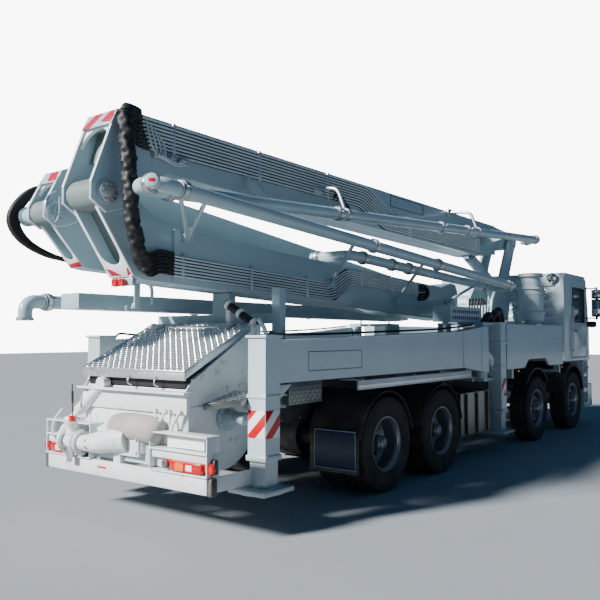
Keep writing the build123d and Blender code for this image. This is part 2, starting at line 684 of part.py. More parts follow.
# Deck: side covers over axle 2, walkways, side rails and the shelf above the rear wheels
with BuildPart() as deck:
    cover_top = 1880
    for side in (1, -1):
        cover_y = sorted((side * 1205, side * 1245))
        side_plate(
            [
                (1120 if side < 0 else 1120 + FRONT_LEG_STEP, 1200),
                (1850, 1200),
                (2050, 1330),
                (2850, 1330),
                (3050, 1200),
                (3800, 1200),
                (3800, cover_top),
                (1120 if side < 0 else 1120 + FRONT_LEG_STEP, cover_top),
            ],
            cover_y,
        )
        walk_y = sorted((side * RAIL_OUTER_Y, side * 1205))
        block((1400, 3800), walk_y, (1340, 1380))
        for brace_x in (1420, 3700):
            block((brace_x, brace_x + 60), walk_y, (1050, 1100))
            post_y = sorted((side * 1100, side * 1205))
            block((brace_x, brace_x + 60), post_y, (1100, 1340))
        shelf_y = sorted((side * (RAIL_OUTER_Y - 60), side * 960))
        block((-3900, 400), shelf_y, (SHELF_Z, SHELF_Z + 8))
        for foot_x in (-3880, -2600, -1300, 320):
            foot_y = sorted((side * (RAIL_OUTER_Y - 60), side * RAIL_OUTER_Y))
            block((foot_x, foot_x + 60), foot_y, (DECK_Z, SHELF_Z))
        rail_y = sorted((side * 1226, side * 1240))
        block((-3000, -180), rail_y, (1140, 1240))
        arm_y = sorted((side * 940, side * 1227))
        for arm_x in (-2900, -1750, -300):
            block((arm_x, arm_x + 40), arm_y, (SHELF_Z - 20, SHELF_Z))
save(deck, "deck")

# Boom rest: two posts, a cross arm and the pad under boom B
with BuildPart() as boom_rest:
    rest_x = (REST_X - 50, REST_X + 50)
    for post_y, top_z in ((-REST_POST_Y[0], 2180), (REST_POST_Y[1], REST_ARM_Z[1])):
        block(rest_x, (post_y - 50, post_y + 50), (SHELF_Z + 8, top_z))
    block(rest_x, (-REST_POST_Y[0] - 50, REST_POST_Y[1] + 50), REST_ARM_Z)
    block(rest_x, (-120, 120), (REST_ARM_Z[1], 2150))
save(boom_rest, "boom_rest")

# Tanks: the strapped fuel tank, the water tank opposite and the air cleaner's stepped stack
with BuildPart() as tanks:
    for side, tank_x in ((-1, (-300, 720)), (1, (-300, 720))):
        tank_y = sorted((side * (RAIL_OUTER_Y + 60), side * 1140))
        with Locations((sum(tank_x) / 2, sum(tank_y) / 2, 635)):
            Box(tank_x[1] - tank_x[0], tank_y[1] - tank_y[0], 570)
        for strap_x in (tank_x[0] + 160, tank_x[1] - 220):
            hanger_y = sorted((side * RAIL_OUTER_Y, side * (RAIL_OUTER_Y + 61)))
            block((strap_x, strap_x + 60), hanger_y, (700, 1000))
    # Air cleaner, its stages as (low z, high z, radius)
    for low_z, high_z, radius in (
        (1380, 1900, 90),
        (1900, 1960, 150),
        (1960, 2060, 215),
        (2060, 2110, 235),
        (2110, 2500, 200),
        (2500, 2540, 225),
        (2540, 2720, 165),
        (2720, 2780, 205),
    ):
        rod((CLEANER[0], CLEANER[1], low_z), (CLEANER[0], CLEANER[1], high_z), radius)
save(tanks, "tanks")

# Slewing pedestal with the outriggers' cross housing and the swing hinge brackets
with BuildPart() as pedestal:
    rod((SLEW_X, 0, DECK_Z), (SLEW_X, 0, PEDESTAL_TOP_Z), PEDESTAL_RADIUS)
    rod(
        (SLEW_X, 0, PEDESTAL_TOP_Z),
        (SLEW_X, 0, PEDESTAL_TOP_Z + BEARING_DEPTH),
        BEARING_RADIUS,
    )
    for side in (1, -1):
        gusset_y = sorted((side * 330, side * 345))
        side_plate(
            [(2500, DECK_Z), (3860, DECK_Z), (3700, 1700), (3000, 1700)],
            gusset_y,
        )
    boss_x = (SLEW_X - 90, SLEW_X + 90)
    block(boss_x, (RAIL_OUTER_Y - 60, RAIL_OUTER_Y + 15), (DECK_Z, DELIVERY_Z + 80))
    block(boss_x, (RAIL_OUTER_Y, RAIL_OUTER_Y + 15), (DELIVERY_Z - 80, DECK_Z))
    housing_x = (FRONT_LEG_X - 110, FRONT_LEG_X + FRONT_LEG_STEP + 110)
    block(housing_x, (-1040, 1040), (DECK_Z + 75, 1600))
    block((FRONT_LEG_X - 60, housing_x[1] - 50), (-RAIL_OUTER_Y, RAIL_OUTER_Y), (DECK_Z, DECK_Z + 76))
    for slot_x in (FRONT_LEG_X, FRONT_LEG_X + FRONT_LEG_STEP):
        block(
            (slot_x - 90, slot_x + 90),
            (-1041, 1041),
            (1310 - PIN_GAP, 1550 + PIN_GAP),
            Mode.SUBTRACT,
        )
    for side in (1, -1):
        bracket_y = sorted((side * RAIL_OUTER_Y, side * (SWING_HINGE_Y + 70)))
        for plate_z in (HINGE_LOW, HINGE_HIGH):
            block((SWING_HINGE_X - 70, FRONT_LEG_X - 109), bracket_y, plate_z)
        web_y = sorted((side * RAIL_OUTER_Y, side * (RAIL_OUTER_Y + 40)))
        block((SWING_HINGE_X - 70, FRONT_LEG_X - 109), web_y, (RAIL_TOP_Z, HINGE_HIGH[1]))
        rod(
            (SWING_HINGE_X, side * SWING_HINGE_Y, HINGE_LOW[0] - 6),
            (SWING_HINGE_X, side * SWING_HINGE_Y, HINGE_HIGH[1] + 6),
            HINGE_PIN_RADIUS,
        )
    block(COOLER_X, COOLER_Y, (HINGE_HIGH[1] - 1, 2110))
    block((COOLER_X[0] + 40, COOLER_X[0] + 100), (-930, -870), (SHELF_Z + 8, HINGE_HIGH[1]))
save(pedestal, "pedestal")

# Rear outriggers: a beam along the side from its hinge post to the leg's sleeve
for side_name, side in (("left", 1), ("right", -1)):
    beam_y = sorted((side * (LEG_Y - 95), side * (LEG_Y + 95)))
    with BuildPart() as outrigger:
        side_plate(
            [
                (SWING_LEG_X + 90, 1280),
                (-400, 1280),
                (SWING_HINGE_X - 120, 1180),
                (SWING_HINGE_X - 120, 1840),
                (-500, 1760),
                (SWING_LEG_X + 90, 1660),
            ],
            beam_y,
        )
        hub_low = HINGE_LOW[1] + PIN_GAP
        hub_high = HINGE_HIGH[0] - PIN_GAP
        rod(
            (SWING_HINGE_X, side * SWING_HINGE_Y, hub_low),
            (SWING_HINGE_X, side * SWING_HINGE_Y, hub_high),
            85,
        )
        lug_y = sorted((side * (SWING_HINGE_Y - 70), side * (SWING_HINGE_Y + 80)))
        block((SWING_HINGE_X - 121, SWING_HINGE_X), lug_y, (1200, 1820))
        rod(
            (SWING_HINGE_X, side * SWING_HINGE_Y, hub_low - 1),
            (SWING_HINGE_X, side * SWING_HINGE_Y, hub_high + 1),
            HINGE_PIN_RADIUS + PIN_GAP,
            Mode.SUBTRACT,
        )
        sleeve_x = (SWING_LEG_X - LEG_SIZE / 2, SWING_LEG_X + LEG_SIZE / 2)
        sleeve_y = sorted((side * (LEG_Y - LEG_SIZE / 2), side * (LEG_Y + LEG_SIZE / 2)))
        block(sleeve_x, sleeve_y, (620, 1690))
        block(
            (sleeve_x[0] + LEG_WALL, sleeve_x[1] - LEG_WALL),
            (sleeve_y[0] + LEG_WALL, sleeve_y[1] - LEG_WALL),
            (619, 1670),
            Mode.SUBTRACT,
        )
    save(outrigger, "rear_outrigger_" + side_name)

# Front outriggers: a beam in the cross housing with the leg's sleeve on its end
for side_name, side, leg_x in (
    ("left", 1, FRONT_LEG_X + FRONT_LEG_STEP),
    ("right", -1, FRONT_LEG_X),
):
    with BuildPart() as outrigger:
        beam_y = sorted((side * (LEG_Y - 90), side * -1000))
        block((leg_x - 85, leg_x + 85), beam_y, (1310, 1550))
        sleeve_x = (leg_x - LEG_SIZE / 2, leg_x + LEG_SIZE / 2)
        sleeve_y = sorted((side * (LEG_Y - LEG_SIZE / 2), side * (LEG_Y + LEG_SIZE / 2)))
        block(sleeve_x, sleeve_y, (560, 1890))
        block(
            (sleeve_x[0] + LEG_WALL, sleeve_x[1] - LEG_WALL),
            (sleeve_y[0] + LEG_WALL, sleeve_y[1] - LEG_WALL),
            (559, 1870),
            Mode.SUBTRACT,
        )
    save(outrigger, "front_outrigger_" + side_name)

# Jacks, as (name, side, leg x, top z, foot z)
jacks = []
for side_name, side in (("left", 1), ("right", -1)):
    jacks.append(("rear_jack_" + side_name, side, SWING_LEG_X, 1600, REAR_FOOT_Z))
    front_x = FRONT_LEG_X + FRONT_LEG_STEP if side > 0 else FRONT_LEG_X
    jacks.append(("front_jack_" + side_name, side, front_x, 1800, FRONT_FOOT_Z))
for name, side, leg_x, top_z, foot_z in jacks:
    inner = LEG_SIZE / 2 - LEG_WALL - INNER_LEG_GAP
    with BuildPart() as jack:
        block(
            (leg_x - inner, leg_x + inner),
            (side * LEG_Y - inner, side * LEG_Y + inner),
            (foot_z + FOOT_DEPTH, top_z),
        )
        rod((leg_x, side * (LEG_Y - 30), foot_z), (leg_x, side * (LEG_Y - 30), foot_z + FOOT_DEPTH), FOOT_RADIUS)
        rod((leg_x, side * LEG_Y, foot_z + FOOT_DEPTH), (leg_x, side * LEG_Y, foot_z + 110), 70)
    save(jack, name)

# Hopper: a tapered open box with its splash wall
with BuildPart() as hopper:
    side_plate(
        [
            (HOPPER_REAR_X, HOPPER_RIM_Z),
            (HOPPER_REAR_X, 1040),
            (HOPPER_REAR_X + 220, 640),
            (HOPPER_FRONT_X - 120, 560),
            (HOPPER_FRONT_X, 700),
            (HOPPER_FRONT_X, COVER_FRONT_Z - 60),
            (HOPPER_FRONT_X - 40, COVER_FRONT_Z - 60),
            (HOPPER_REAR_X + 60, HOPPER_RIM_Z + 110),
        ],
        (-HOPPER_HALF, HOPPER_HALF),
    )
    side_plate(
        [
            (HOPPER_REAR_X + HOPPER_WALL, 2200),
            (HOPPER_REAR_X + HOPPER_WALL, 1045),
            (HOPPER_REAR_X + 228, 652),
            (HOPPER_FRONT_X - 125, 573),
            (HOPPER_FRONT_X - HOPPER_WALL, 706),
            (HOPPER_FRONT_X - HOPPER_WALL, 2200),
        ],
        (HOPPER_WALL - HOPPER_HALF, HOPPER_HALF - HOPPER_WALL),
        Mode.SUBTRACT,
    )
    block((HOPPER_REAR_X - 60, HOPPER_REAR_X + 1), (-HOPPER_HALF, HOPPER_HALF), (1190, HOPPER_RIM_Z))
    for side in (1, -1):
        ear_y = sorted((side * HOPPER_HALF, side * (HOPPER_HALF + 30)))
        side_plate(
            [
                (COVER_HINGE[0] - 70, 1640),
                (COVER_HINGE[0] - 30, 1640),
                (COVER_HINGE[0] + 35, COVER_HINGE[1] - 20),
                (COVER_HINGE[0] + 25, COVER_HINGE[1] + 35),
                (COVER_HINGE[0] - 30, COVER_HINGE[1] + 35),
                (COVER_HINGE[0] - 70, 1730),
            ],
            ear_y,
        )
        bore_y = sorted((side * (HOPPER_HALF - 1), side * (HOPPER_HALF + 31)))
        cross_pin(COVER_HINGE, bore_y, COVER_PIN_RADIUS + PIN_GAP, Mode.SUBTRACT)
        strut_y = sorted((side * 345, side * RAIL_OUTER_Y))
        block((HOPPER_FRONT_X - 1, SUBFRAME_REAR_X), strut_y, (RAIL_TOP_Z, DECK_Z))
save(hopper, "hopper")

# Hopper cover: a sloping lid on a hinge at the front splash wall
with BuildPart() as hopper_cover:
    side_plate(
        [
            (COVER_HINGE[0], COVER_FRONT_Z - 12),
            (COVER_HINGE[0], COVER_FRONT_Z + 12),
            (HOPPER_REAR_X - 20, COVER_REAR_Z + 12),
            (HOPPER_REAR_X - 20, COVER_REAR_Z - 60),
            (HOPPER_REAR_X - 8, COVER_REAR_Z - 60),
            (HOPPER_REAR_X - 8, COVER_REAR_Z),
        ],
        (-COVER_HALF, COVER_HALF),
    )
    cross_pin(COVER_HINGE, (-HOPPER_HALF - 34, HOPPER_HALF + 34), COVER_PIN_RADIUS)
save(hopper_cover, "hopper_cover")

# Pump unit: material cylinders, water box, drive cylinders and the delivery line
with BuildPart() as pump_unit:
    for lane in (-170, 170):
        rod((HOPPER_FRONT_X, lane, 1330), (-760, lane, 1330), 125)
        rod((-760, lane, 1330), (FRONT_LEG_X - 240, lane, 1330), 75)
    block((-1000, -560), (-330, 330), (DECK_Z, 1480))
    for saddle_x in (-3500, -2200):
        block((saddle_x, saddle_x + 80), (65 - RAIL_OUTER_Y, RAIL_OUTER_Y - 65), (DECK_Z, 1250))
    # Delivery line from the swivel outlet at the rear along the left side into the pedestal
    pipe_run(
        [
            (-4750, HOPPER_HALF, 850),
            (-4750, 880, 850),
            (-4750, 880, DELIVERY_Z),
            (-4150, 880, DELIVERY_Z),
            (-3880, DELIVERY_Y, DELIVERY_Z),
            (SLEW_X, DELIVERY_Y, DELIVERY_Z),
            (SLEW_X, RAIL_OUTER_Y + 15, DELIVERY_Z),
        ],
        105,
        PIPE_RADIUS,
    )
    for flange_y in (HOPPER_HALF, HOPPER_HALF + 50):
        rod((-4750, flange_y, 850), (-4750, flange_y + 20, 850), 100)
save(pump_unit, "pump_unit")

# Rear end: lamp boxes, under-run bar and its brackets
with BuildPart() as rear_bumper:
    block((-5010, -4930), (-1120, 1120), (570, 740))
    for side in (1, -1):
        bracket_y = sorted((side * 345, side * RAIL_OUTER_Y))
        block((-4931, RAIL_REAR_X + 100), bracket_y, (430, 550))
        block((-5010, -4931), bracket_y, (430, 600))
        block((RAIL_REAR_X, RAIL_REAR_X + 100), bracket_y, (430, RAIL_Z))
save(rear_bumper, "rear_bumper")

# Turret: base ring, two foot plates and the pins of the boom and of its lift cylinder
turret_outline = [
    (2950, TURRET_BASE_Z + TURRET_BASE_DEPTH),
    (3800, TURRET_BASE_Z + TURRET_BASE_DEPTH),
    (3925, 2400),
    (3925, 2900),
    (4190, 3380),
    (4210, 3560),
    (4080, 3670),
    (3940, 3640),
    (3700, 3240),
    (3380, 2700),
    (3050, 2350),
]
with BuildPart() as turret:
    rod(
        (SLEW_X, 0, TURRET_BASE_Z),
        (SLEW_X, 0, TURRET_BASE_Z + TURRET_BASE_DEPTH),
        BEARING_RADIUS,
    )
    plate_out = TURRET_PLATE_IN + TURRET_PLATE
    for side in (1, -1):
        plate_y = sorted((side * TURRET_PLATE_IN, side * plate_out))
        side_plate(turret_outline, plate_y)
        cross_pin(FOOT, sorted((side * TURRET_PLATE_IN, side * (plate_out + 25))), 150)
        cross_pin(LIFT_FOOT, sorted((side * 118, side * plate_out)), 75)
    cross_pin(FOOT, (-plate_out - 40, plate_out + 40), FOOT_PIN_RADIUS)
    cross_pin(LIFT_FOOT, (-plate_out, plate_out), 45)
    block((2960, 3000), (-TURRET_PLATE_IN, TURRET_PLATE_IN), (TURRET_BASE_Z + 20, 2250))
save(turret, "turret")

# Lift cylinder: barrel on the turret's pin, rod up to the boom's underside
lift_run = Vector(LIFT_EYE[0] - LIFT_FOOT[0], 0, LIFT_EYE[1] - LIFT_FOOT[1])
lift_closed = lift_run.length
lift_dir = lift_run.normalized()
lift_start = Vector(LIFT_FOOT[0], 0, LIFT_FOOT[1])
barrel_end = lift_closed - LIFT_EYE_RADIUS - 36
with BuildPart() as lift_barrel:
    cross_pin(LIFT_FOOT, (-110, 110), LIFT_EYE_RADIUS)
    rod(lift_start + lift_dir * 50, lift_start + lift_dir * barrel_end, LIFT_BARREL_RADIUS)
    rod(
        lift_start + lift_dir * 125,
        lift_start + lift_dir * (barrel_end + 1),
        LIFT_ROD_RADIUS + PIN_GAP,
        Mode.SUBTRACT,
    )
    cross_pin(LIFT_FOOT, (-112, 112), 45 + PIN_GAP, Mode.SUBTRACT)
save(lift_barrel, "lift_barrel")
with BuildPart() as lift_rod:
    rod(lift_start + lift_dir * 135, lift_start + lift_dir * (lift_closed - 60), LIFT_ROD_RADIUS)
    cross_pin(LIFT_EYE, (-60, 60), LIFT_EYE_RADIUS)
    cross_pin(LIFT_EYE, (-61, 61), 45, Mode.SUBTRACT)
save(lift_rod, "lift_rod")

# Boom A: box, foot lug, rear fork with its cap and the fold pin
fork_in_ab = LANE_AB[1] - FORK_PLATE
lug_ab = fork_in_ab - LANE_GAP
with BuildPart() as boom_a:
    side_plate(
        [(-4700, 3230), (2600, 3105), (3300, 3190), (3300, 3720), (-4700, 3720)],
        LANE_AB,
    )
    side_plate(
        [(3250, 3250), (3700, 3330), (3960, 3370), (4100, 3640), (3900, 3690), (3250, 3720)],
        (-185, 185),
    )
    cross_pin(FOOT, (-185, 185), 145)
    cross_pin(FOOT, (-186, 186), FOOT_PIN_RADIUS + PIN_GAP, Mode.SUBTRACT)
    block((2380, 3301), (-110, 110), (3000, 3270), Mode.SUBTRACT)
    fork_outline_a = [
        (-4690, 3235),
        (-4950, 3100),
        (-5240, 2820),
        (-5400, 2770),
        (-5560, 2870),
        (-5560, 3010),
        (-5300, 3700),
        (-5250, 3720),
        (-4690, 3720),
    ]
    for plate_y in ((LANE_AB[0], -fork_in_ab), (fork_in_ab, LANE_AB[1])):
        side_plate(fork_outline_a, plate_y)
    side_plate([(-5365, 3560), (-5300, 3700), (-5250, 3720), (-5100, 3720), (-5100, 3560)], LANE_AB)
    side_plate(
        [(-5190, 3561), (-5160, 3561), (-5230, 3270), (-5260, 3270)],
        (-fork_in_ab - 1, fork_in_ab + 1),
    )
    cross_pin(FOLD_AB, (-LANE_AB[1] - 30, LANE_AB[1] + 30), FOLD_PIN_RADIUS)
    for side in (1, -1):
        boss_y = sorted((side * LANE_AB[1], side * (LANE_AB[1] + 18)))
        cross_pin(FOLD_AB, boss_y, 110)
save(boom_a, "boom_a")

# Boom B: a tapered box under A with the pin of the next section at its front end
with BuildPart() as boom_b:
    side_plate(
        [
            (-5540, 2940),
            (-5060, 2240),
            (-4950, 2215),
            (1350, 1945),
            (1600, 2010),
            (1740, 2200),
            (1740, 2420),
            (1660, 2540),
            (1500, 2560),
            (1100, 2470),
            (-4600, 2720),
            (-4900, 2850),
            (-5200, 3060),
            (-5400, 3080),
        ],
        (-lug_ab, lug_ab),
    )
    side_plate(
        [(-4600, 2195), (1350, 1945), (1500, 1980), (1500, 2440), (1100, 2470), (-4600, 2720)],
        (-LANE_AB[1] + 10, LANE_AB[1] - 10),
    )
    end_slot((-5545, 2930), (-5160, 2370), 0, lug_ab - SLOT_CHEEK, SLOT_DEPTH)
    cross_pin(FOLD_AB, (-lug_ab, lug_ab), 140)
    cross_pin(FOLD_AB, (-lug_ab - 1, lug_ab + 1), FOLD_PIN_RADIUS + PIN_GAP, Mode.SUBTRACT)
    cross_pin(FOLD_BC, (0, LANE_CE[1] + 30), FOLD_PIN_RADIUS)
    cross_pin(FOLD_BC, (0, LANE_CE[0] - PIN_GAP), 110)
save(boom_b, "boom_b")

# Boom C: beside B, above D, with its fork at the rear
fork_c = (LANE_CE[0] + FORK_PLATE, LANE_CE[1] - FORK_PLATE)
lug_d = (fork_c[0] + LANE_GAP, fork_c[1] - LANE_GAP)
with BuildPart() as boom_c:
    side_plate(
        [(-4750, 2851), (1350, 2335), (1500, 2280), (1600, 2560), (1350, 2600), (-4750, 3250)],
        LANE_CE,
    )
    cross_pin(FOLD_BC, LANE_CE, 135)
    cross_pin(FOLD_BC, (LANE_CE[0] - 1, LANE_CE[1] + 1), FOLD_PIN_RADIUS + PIN_GAP, Mode.SUBTRACT)
    fork_outline_c = [
        (-4740, 2851),
        (-5000, 2860),
        (-5300, 2730),
        (-5400, 2710),
        (-5530, 2790),
        (-5530, 2900),
        (-5350, 3250),
        (-5300, 3270),
        (-4740, 3250),
    ]
    for plate_y in ((LANE_CE[0], fork_c[0]), (fork_c[1], LANE_CE[1])):
        side_plate(fork_outline_c, plate_y)
    side_plate([(-5420, 3130), (-5350, 3250), (-5300, 3270), (-5150, 3266), (-5150, 3130)], LANE_CE)
    side_plate([(-5180, 3131), (-5155, 3131), (-5185, 3060), (-5210, 3060)], (fork_c[0] - 1, fork_c[1] + 1))
    cross_pin(FOLD_CD, (LANE_CE[0] - 25, LANE_CE[1] + 25), FOLD_PIN_RADIUS)
    for boss_y in ((LANE_CE[0] - 15, LANE_CE[0]), (LANE_CE[1], LANE_CE[1] + 15)):
        cross_pin(FOLD_CD, boss_y, 105)
save(boom_c, "boom_c")

# Boom D: under C, its rear lug in C's fork and a narrow eye at the front
eye_d = (LANE_CE[0] + FORK_PLATE + LANE_GAP + 15, LANE_CE[1] - FORK_PLATE - LANE_GAP - 15)
with BuildPart() as boom_d:
    side_plate(
        [
            (-5520, 2850),
            (-5070, 2360),
            (-4950, 2345),
            (1000, 2145),
            (1000, 2330),
            (-4700, 2815),
            (-5250, 2960),
            (-5400, 2980),
        ],
        lug_d,
    )
    side_plate([(1000, 2145), (1150, 2040), (1350, 2060), (1350, 2200), (1250, 2250), (1000, 2330)], eye_d)
    slot_half = (lug_d[1] - lug_d[0]) / 2 - SLOT_CHEEK
    end_slot((-5525, 2845), (-5150, 2450), sum(lug_d) / 2, slot_half, SLOT_DEPTH)
    cross_pin(FOLD_CD, lug_d, 120)
    cross_pin(FOLD_CD, (lug_d[0] - 1, lug_d[1] + 1), FOLD_PIN_RADIUS + PIN_GAP, Mode.SUBTRACT)
    cross_pin(FOLD_DE, (eye_d[0] - 1, eye_d[1] + 1), 40 + PIN_GAP, Mode.SUBTRACT)
save(boom_d, "boom_d")

# Boom E: the last section, its fork round D's eye, and its concrete pipe with the downturned tip
fork_e = (eye_d[0] - LANE_GAP, eye_d[1] + LANE_GAP)
with BuildPart() as boom_e:
    side_plate([(-5150, 1960), (960, 1935), (960, 2110), (-5150, 2110)], LANE_CE)
    for plate_y in ((LANE_CE[0], fork_e[0]), (fork_e[1], LANE_CE[1])):
        side_plate([(950, 1935), (1300, 1960), (1370, 2080), (1370, 2190), (1200, 2215), (950, 2110)], plate_y)
    cross_pin(FOLD_DE, (LANE_CE[0] - 10, LANE_CE[1] + 10), 40)
    pipe_run(
        [
            (900, LEFT_PIPE_Y, TIP_PIPE_Z),
            (TIP_X, LEFT_PIPE_Y, TIP_PIPE_Z),
            (TIP_X, LEFT_PIPE_Y, TIP_PIPE_Z - 180),
        ],
        100,
        PIPE_RADIUS,
    )
    for arm_x in (-4800, -2000, 700):
        rod((arm_x, LANE_CE[1] - 10, TIP_PIPE_Z), (arm_x, LEFT_PIPE_Y, TIP_PIPE_Z), 25)
save(boom_e, "boom_e")

# Concrete pipe on boom A, from the foot's axis to the swivel joint on the first fold's axis
with BuildPart() as pipe_a:
    pipe_run(
        [
            (FOOT[0], PIPE_FOOT_Y + 330, FOOT[1]),
            (FOOT[0], PIPE_FOOT_Y, FOOT[1]),
            (FOLD_AB[0], PIPE_FOLD_Y, FOLD_AB[1]),
            (FOLD_AB[0], PIPE_SWIVEL_Y + PIN_GAP, FOLD_AB[1]),
        ],
        PIPE_BEND,
        PIPE_RADIUS,
    )
    for arm_x in (-3600, -500, 2600):
        along = (arm_x - FOLD_AB[0]) / (FOOT[0] - FOLD_AB[0])
        arm_z = FOLD_AB[1] + along * (FOOT[1] - FOLD_AB[1])
        arm_y = PIPE_FOLD_Y + along * (PIPE_FOOT_Y - PIPE_FOLD_Y)
        front_plate(
            [
                (LANE_AB[0], 3440),
                (LANE_AB[0], 3290),
                (arm_y + 30, arm_z - 25),
                (arm_y - 10, arm_z + 45),
            ],
            (arm_x - 10, arm_x + 10),
        )
save(pipe_a, "pipe_a")

# Concrete pipe on boom B: forward along its outer lane, back nearer the boom, then over its top
with BuildPart() as pipe_b:
    pipe_run(
        [
            (FOLD_AB[0], PIPE_SWIVEL_Y - PIN_GAP, FOLD_AB[1]),
            (FOLD_AB[0], LOWER_PIPE_Y, FOLD_AB[1]),
            (PIPE_FRONT[0], LOWER_PIPE_Y, PIPE_FRONT[1]),
            (PIPE_FRONT[0], RETURN_PIPE_Y, PIPE_FRONT[1]),
            (PIPE_CROSSING[0], RETURN_PIPE_Y, PIPE_CROSSING[1]),
            (PIPE_CROSSING[0], 150, PIPE_CROSSING[1]),
        ],
        PIPE_BEND,
        PIPE_RADIUS,
    )
    # Struts, each as (x at the pipe, x at the boom, z at the boom)
    strut_slope = (PIPE_FRONT[1] - FOLD_AB[1]) / (PIPE_FRONT[0] - FOLD_AB[0])
    boom_side = 10 - LANE_AB[1]
    for pipe_x, foot_x, foot_z in (
        (-5150, -4450, 2640),
        (-4830, -4450, 2640),
        (-2450, -2030, 2342),
        (-750, -400, 2200),
        (1250, 1250, 2250),
    ):
        block((foot_x - 60, foot_x + 60), (boom_side - 50, boom_side), (foot_z - 45, foot_z + 45))
        pipe_z = FOLD_AB[1] + strut_slope * (pipe_x - FOLD_AB[0])
        rod((foot_x, boom_side - 25, foot_z), (pipe_x, LOWER_PIPE_Y, pipe_z - 20), 22)
save(pipe_b, "pipe_b")
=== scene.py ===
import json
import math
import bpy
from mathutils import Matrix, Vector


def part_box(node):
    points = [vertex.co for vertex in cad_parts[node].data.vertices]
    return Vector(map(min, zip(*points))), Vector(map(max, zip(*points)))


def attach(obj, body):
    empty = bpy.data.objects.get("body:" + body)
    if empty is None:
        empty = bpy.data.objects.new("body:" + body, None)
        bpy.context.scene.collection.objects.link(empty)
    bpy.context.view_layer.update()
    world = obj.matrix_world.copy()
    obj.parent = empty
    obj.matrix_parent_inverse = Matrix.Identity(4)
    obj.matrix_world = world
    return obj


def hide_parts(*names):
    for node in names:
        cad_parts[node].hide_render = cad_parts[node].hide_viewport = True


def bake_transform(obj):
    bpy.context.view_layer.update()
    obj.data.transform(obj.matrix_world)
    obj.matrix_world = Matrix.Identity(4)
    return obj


bl_info = {
    "name": "Concrete Pump Truck",
    "version": (1, 0, 0),
    "blender": (4, 5, 0),
    "location": "3D View > Sidebar > Pump Truck",
    "description": "Dresses the packed frame of a concrete pump truck with its finishes and fine pieces",
    "category": "Object",
}

import bmesh
import bpy
import numpy as np
from mathutils import Vector

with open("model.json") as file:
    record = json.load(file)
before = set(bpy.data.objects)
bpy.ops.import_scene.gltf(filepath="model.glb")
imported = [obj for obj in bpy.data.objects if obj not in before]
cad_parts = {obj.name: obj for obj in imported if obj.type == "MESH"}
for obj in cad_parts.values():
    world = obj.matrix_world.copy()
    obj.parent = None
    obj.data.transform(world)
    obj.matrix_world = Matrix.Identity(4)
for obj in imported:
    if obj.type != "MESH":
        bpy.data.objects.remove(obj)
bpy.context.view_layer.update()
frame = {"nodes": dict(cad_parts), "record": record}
SIDES = (("left", 1.0), ("right", -1.0))
ROUND = 2.0 * math.pi

# Ways: a skew one to cross with, so that the product doesn't vanish for any way along the truck's lines
SKEW = (0.31, 0.17, 0.94)
ACROSS = (0, 1, 0)
UPWARD = (0, 0, 1)

# Axle middles as (x, z) from the tyres' own boxes, counted from the front. A tyre's bulge is half a tyre
# from its middle, a twin's inner tyre is one pitch further in, and nuts and caps are set out from RIM_Y
AXLES = []
for number in (1, 2, 3, 4):
    low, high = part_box("wheel_%d_left_tyre" % number)
    AXLES.append(((low.x + high.x) / 2, (low.z + high.z) / 2))
HALF_TYRE = 0.1575
TWIN_PITCH = 0.35
RIM_Y = 1.0925

# Fold axes as (x, z) in metres, the foot, and the slewing axis
FOOT = (4.05, 3.5)
FOLD_AB = (-5.4, 2.94)
FOLD_BC = (1.6, 2.4)
FOLD_CD = (-5.4, 2.85)
TURRET_X = 3.35

# Lanes of the concrete pipe across the truck: at the foot, at the rear fold, boom B's two runs, the tip
PIPE_FOOT = -0.76
PIPE_FOLD = -0.57
PIPE_LOWER = -0.85
PIPE_RETURN = -0.43
LEFT_PIPE = 0.96

# Other lanes across the truck: oil lines outside booms A and B, the middle of booms C and D, the four legs
LINES_A_Y = -0.232
LINES_B_Y = -0.212
FAR_LANE = 0.655
LEG_Y = 1.15
REAR_LEG_X = -4.4

# Axes of round pieces: the agitator's shaft as (x, z), the air cleaner and the outlet stub as (x, y)
SHAFT = (-4.46, 0.96)
CLEANER = (3.0, -0.96)
STUB = (-5.08, 0.68)


# Shapes
def unit(v):
    """Vectors divided by their own lengths, along the last axis."""
    v = np.asarray(v, float)
    return v / np.maximum(np.linalg.norm(v, axis=-1, keepdims=True), 1e-12)


def grid(points, close_u=False, close_v=False):
    """An (m, n, 3) array of points as corners and one array of four-sided faces: face (i, j) joins the
    points (i, j), (i+1, j), (i+1, j+1) and (i, j+1), and a closed way wraps round to 0."""
    points = np.asarray(points, float)
    ids = np.arange(points.shape[0] * points.shape[1]).reshape(points.shape[:2])
    if close_u:
        ids = np.vstack([ids, ids[:1]])
    if close_v:
        ids = np.hstack([ids, ids[:, :1]])
    corners = (ids[:-1, :-1], ids[1:, :-1], ids[1:, 1:], ids[:-1, 1:])
    return points.reshape(-1, 3), [np.stack(corners, -1).reshape(-1, 4)]


def bend(points, radius, steps=6):
    """A path with rounded corners. Corner P with unit runs a to it and b from it becomes the curve
    (1-s)^2 (P - t a) + 2 s (1-s) P + s^2 (P + t b), with t the radius held to 0.45 of the shorter run."""
    points = np.asarray(points, float)
    runs = np.diff(points, axis=0)
    lengths = np.linalg.norm(runs, axis=1)
    ways = unit(runs)
    reach = np.minimum(radius, 0.45 * np.minimum(lengths[:-1], lengths[1:]))[:, None, None]
    s = np.linspace(0, 1, steps)[None, :, None]
    corner = points[1:-1, None]
    start = corner - reach * ways[:-1, None]
    end = corner + reach * ways[1:, None]
    curve = (1 - s) ** 2 * start + 2 * s * (1 - s) * corner + s**2 * end
    return np.vstack([points[:1], curve.reshape(-1, 3), points[-1:]])


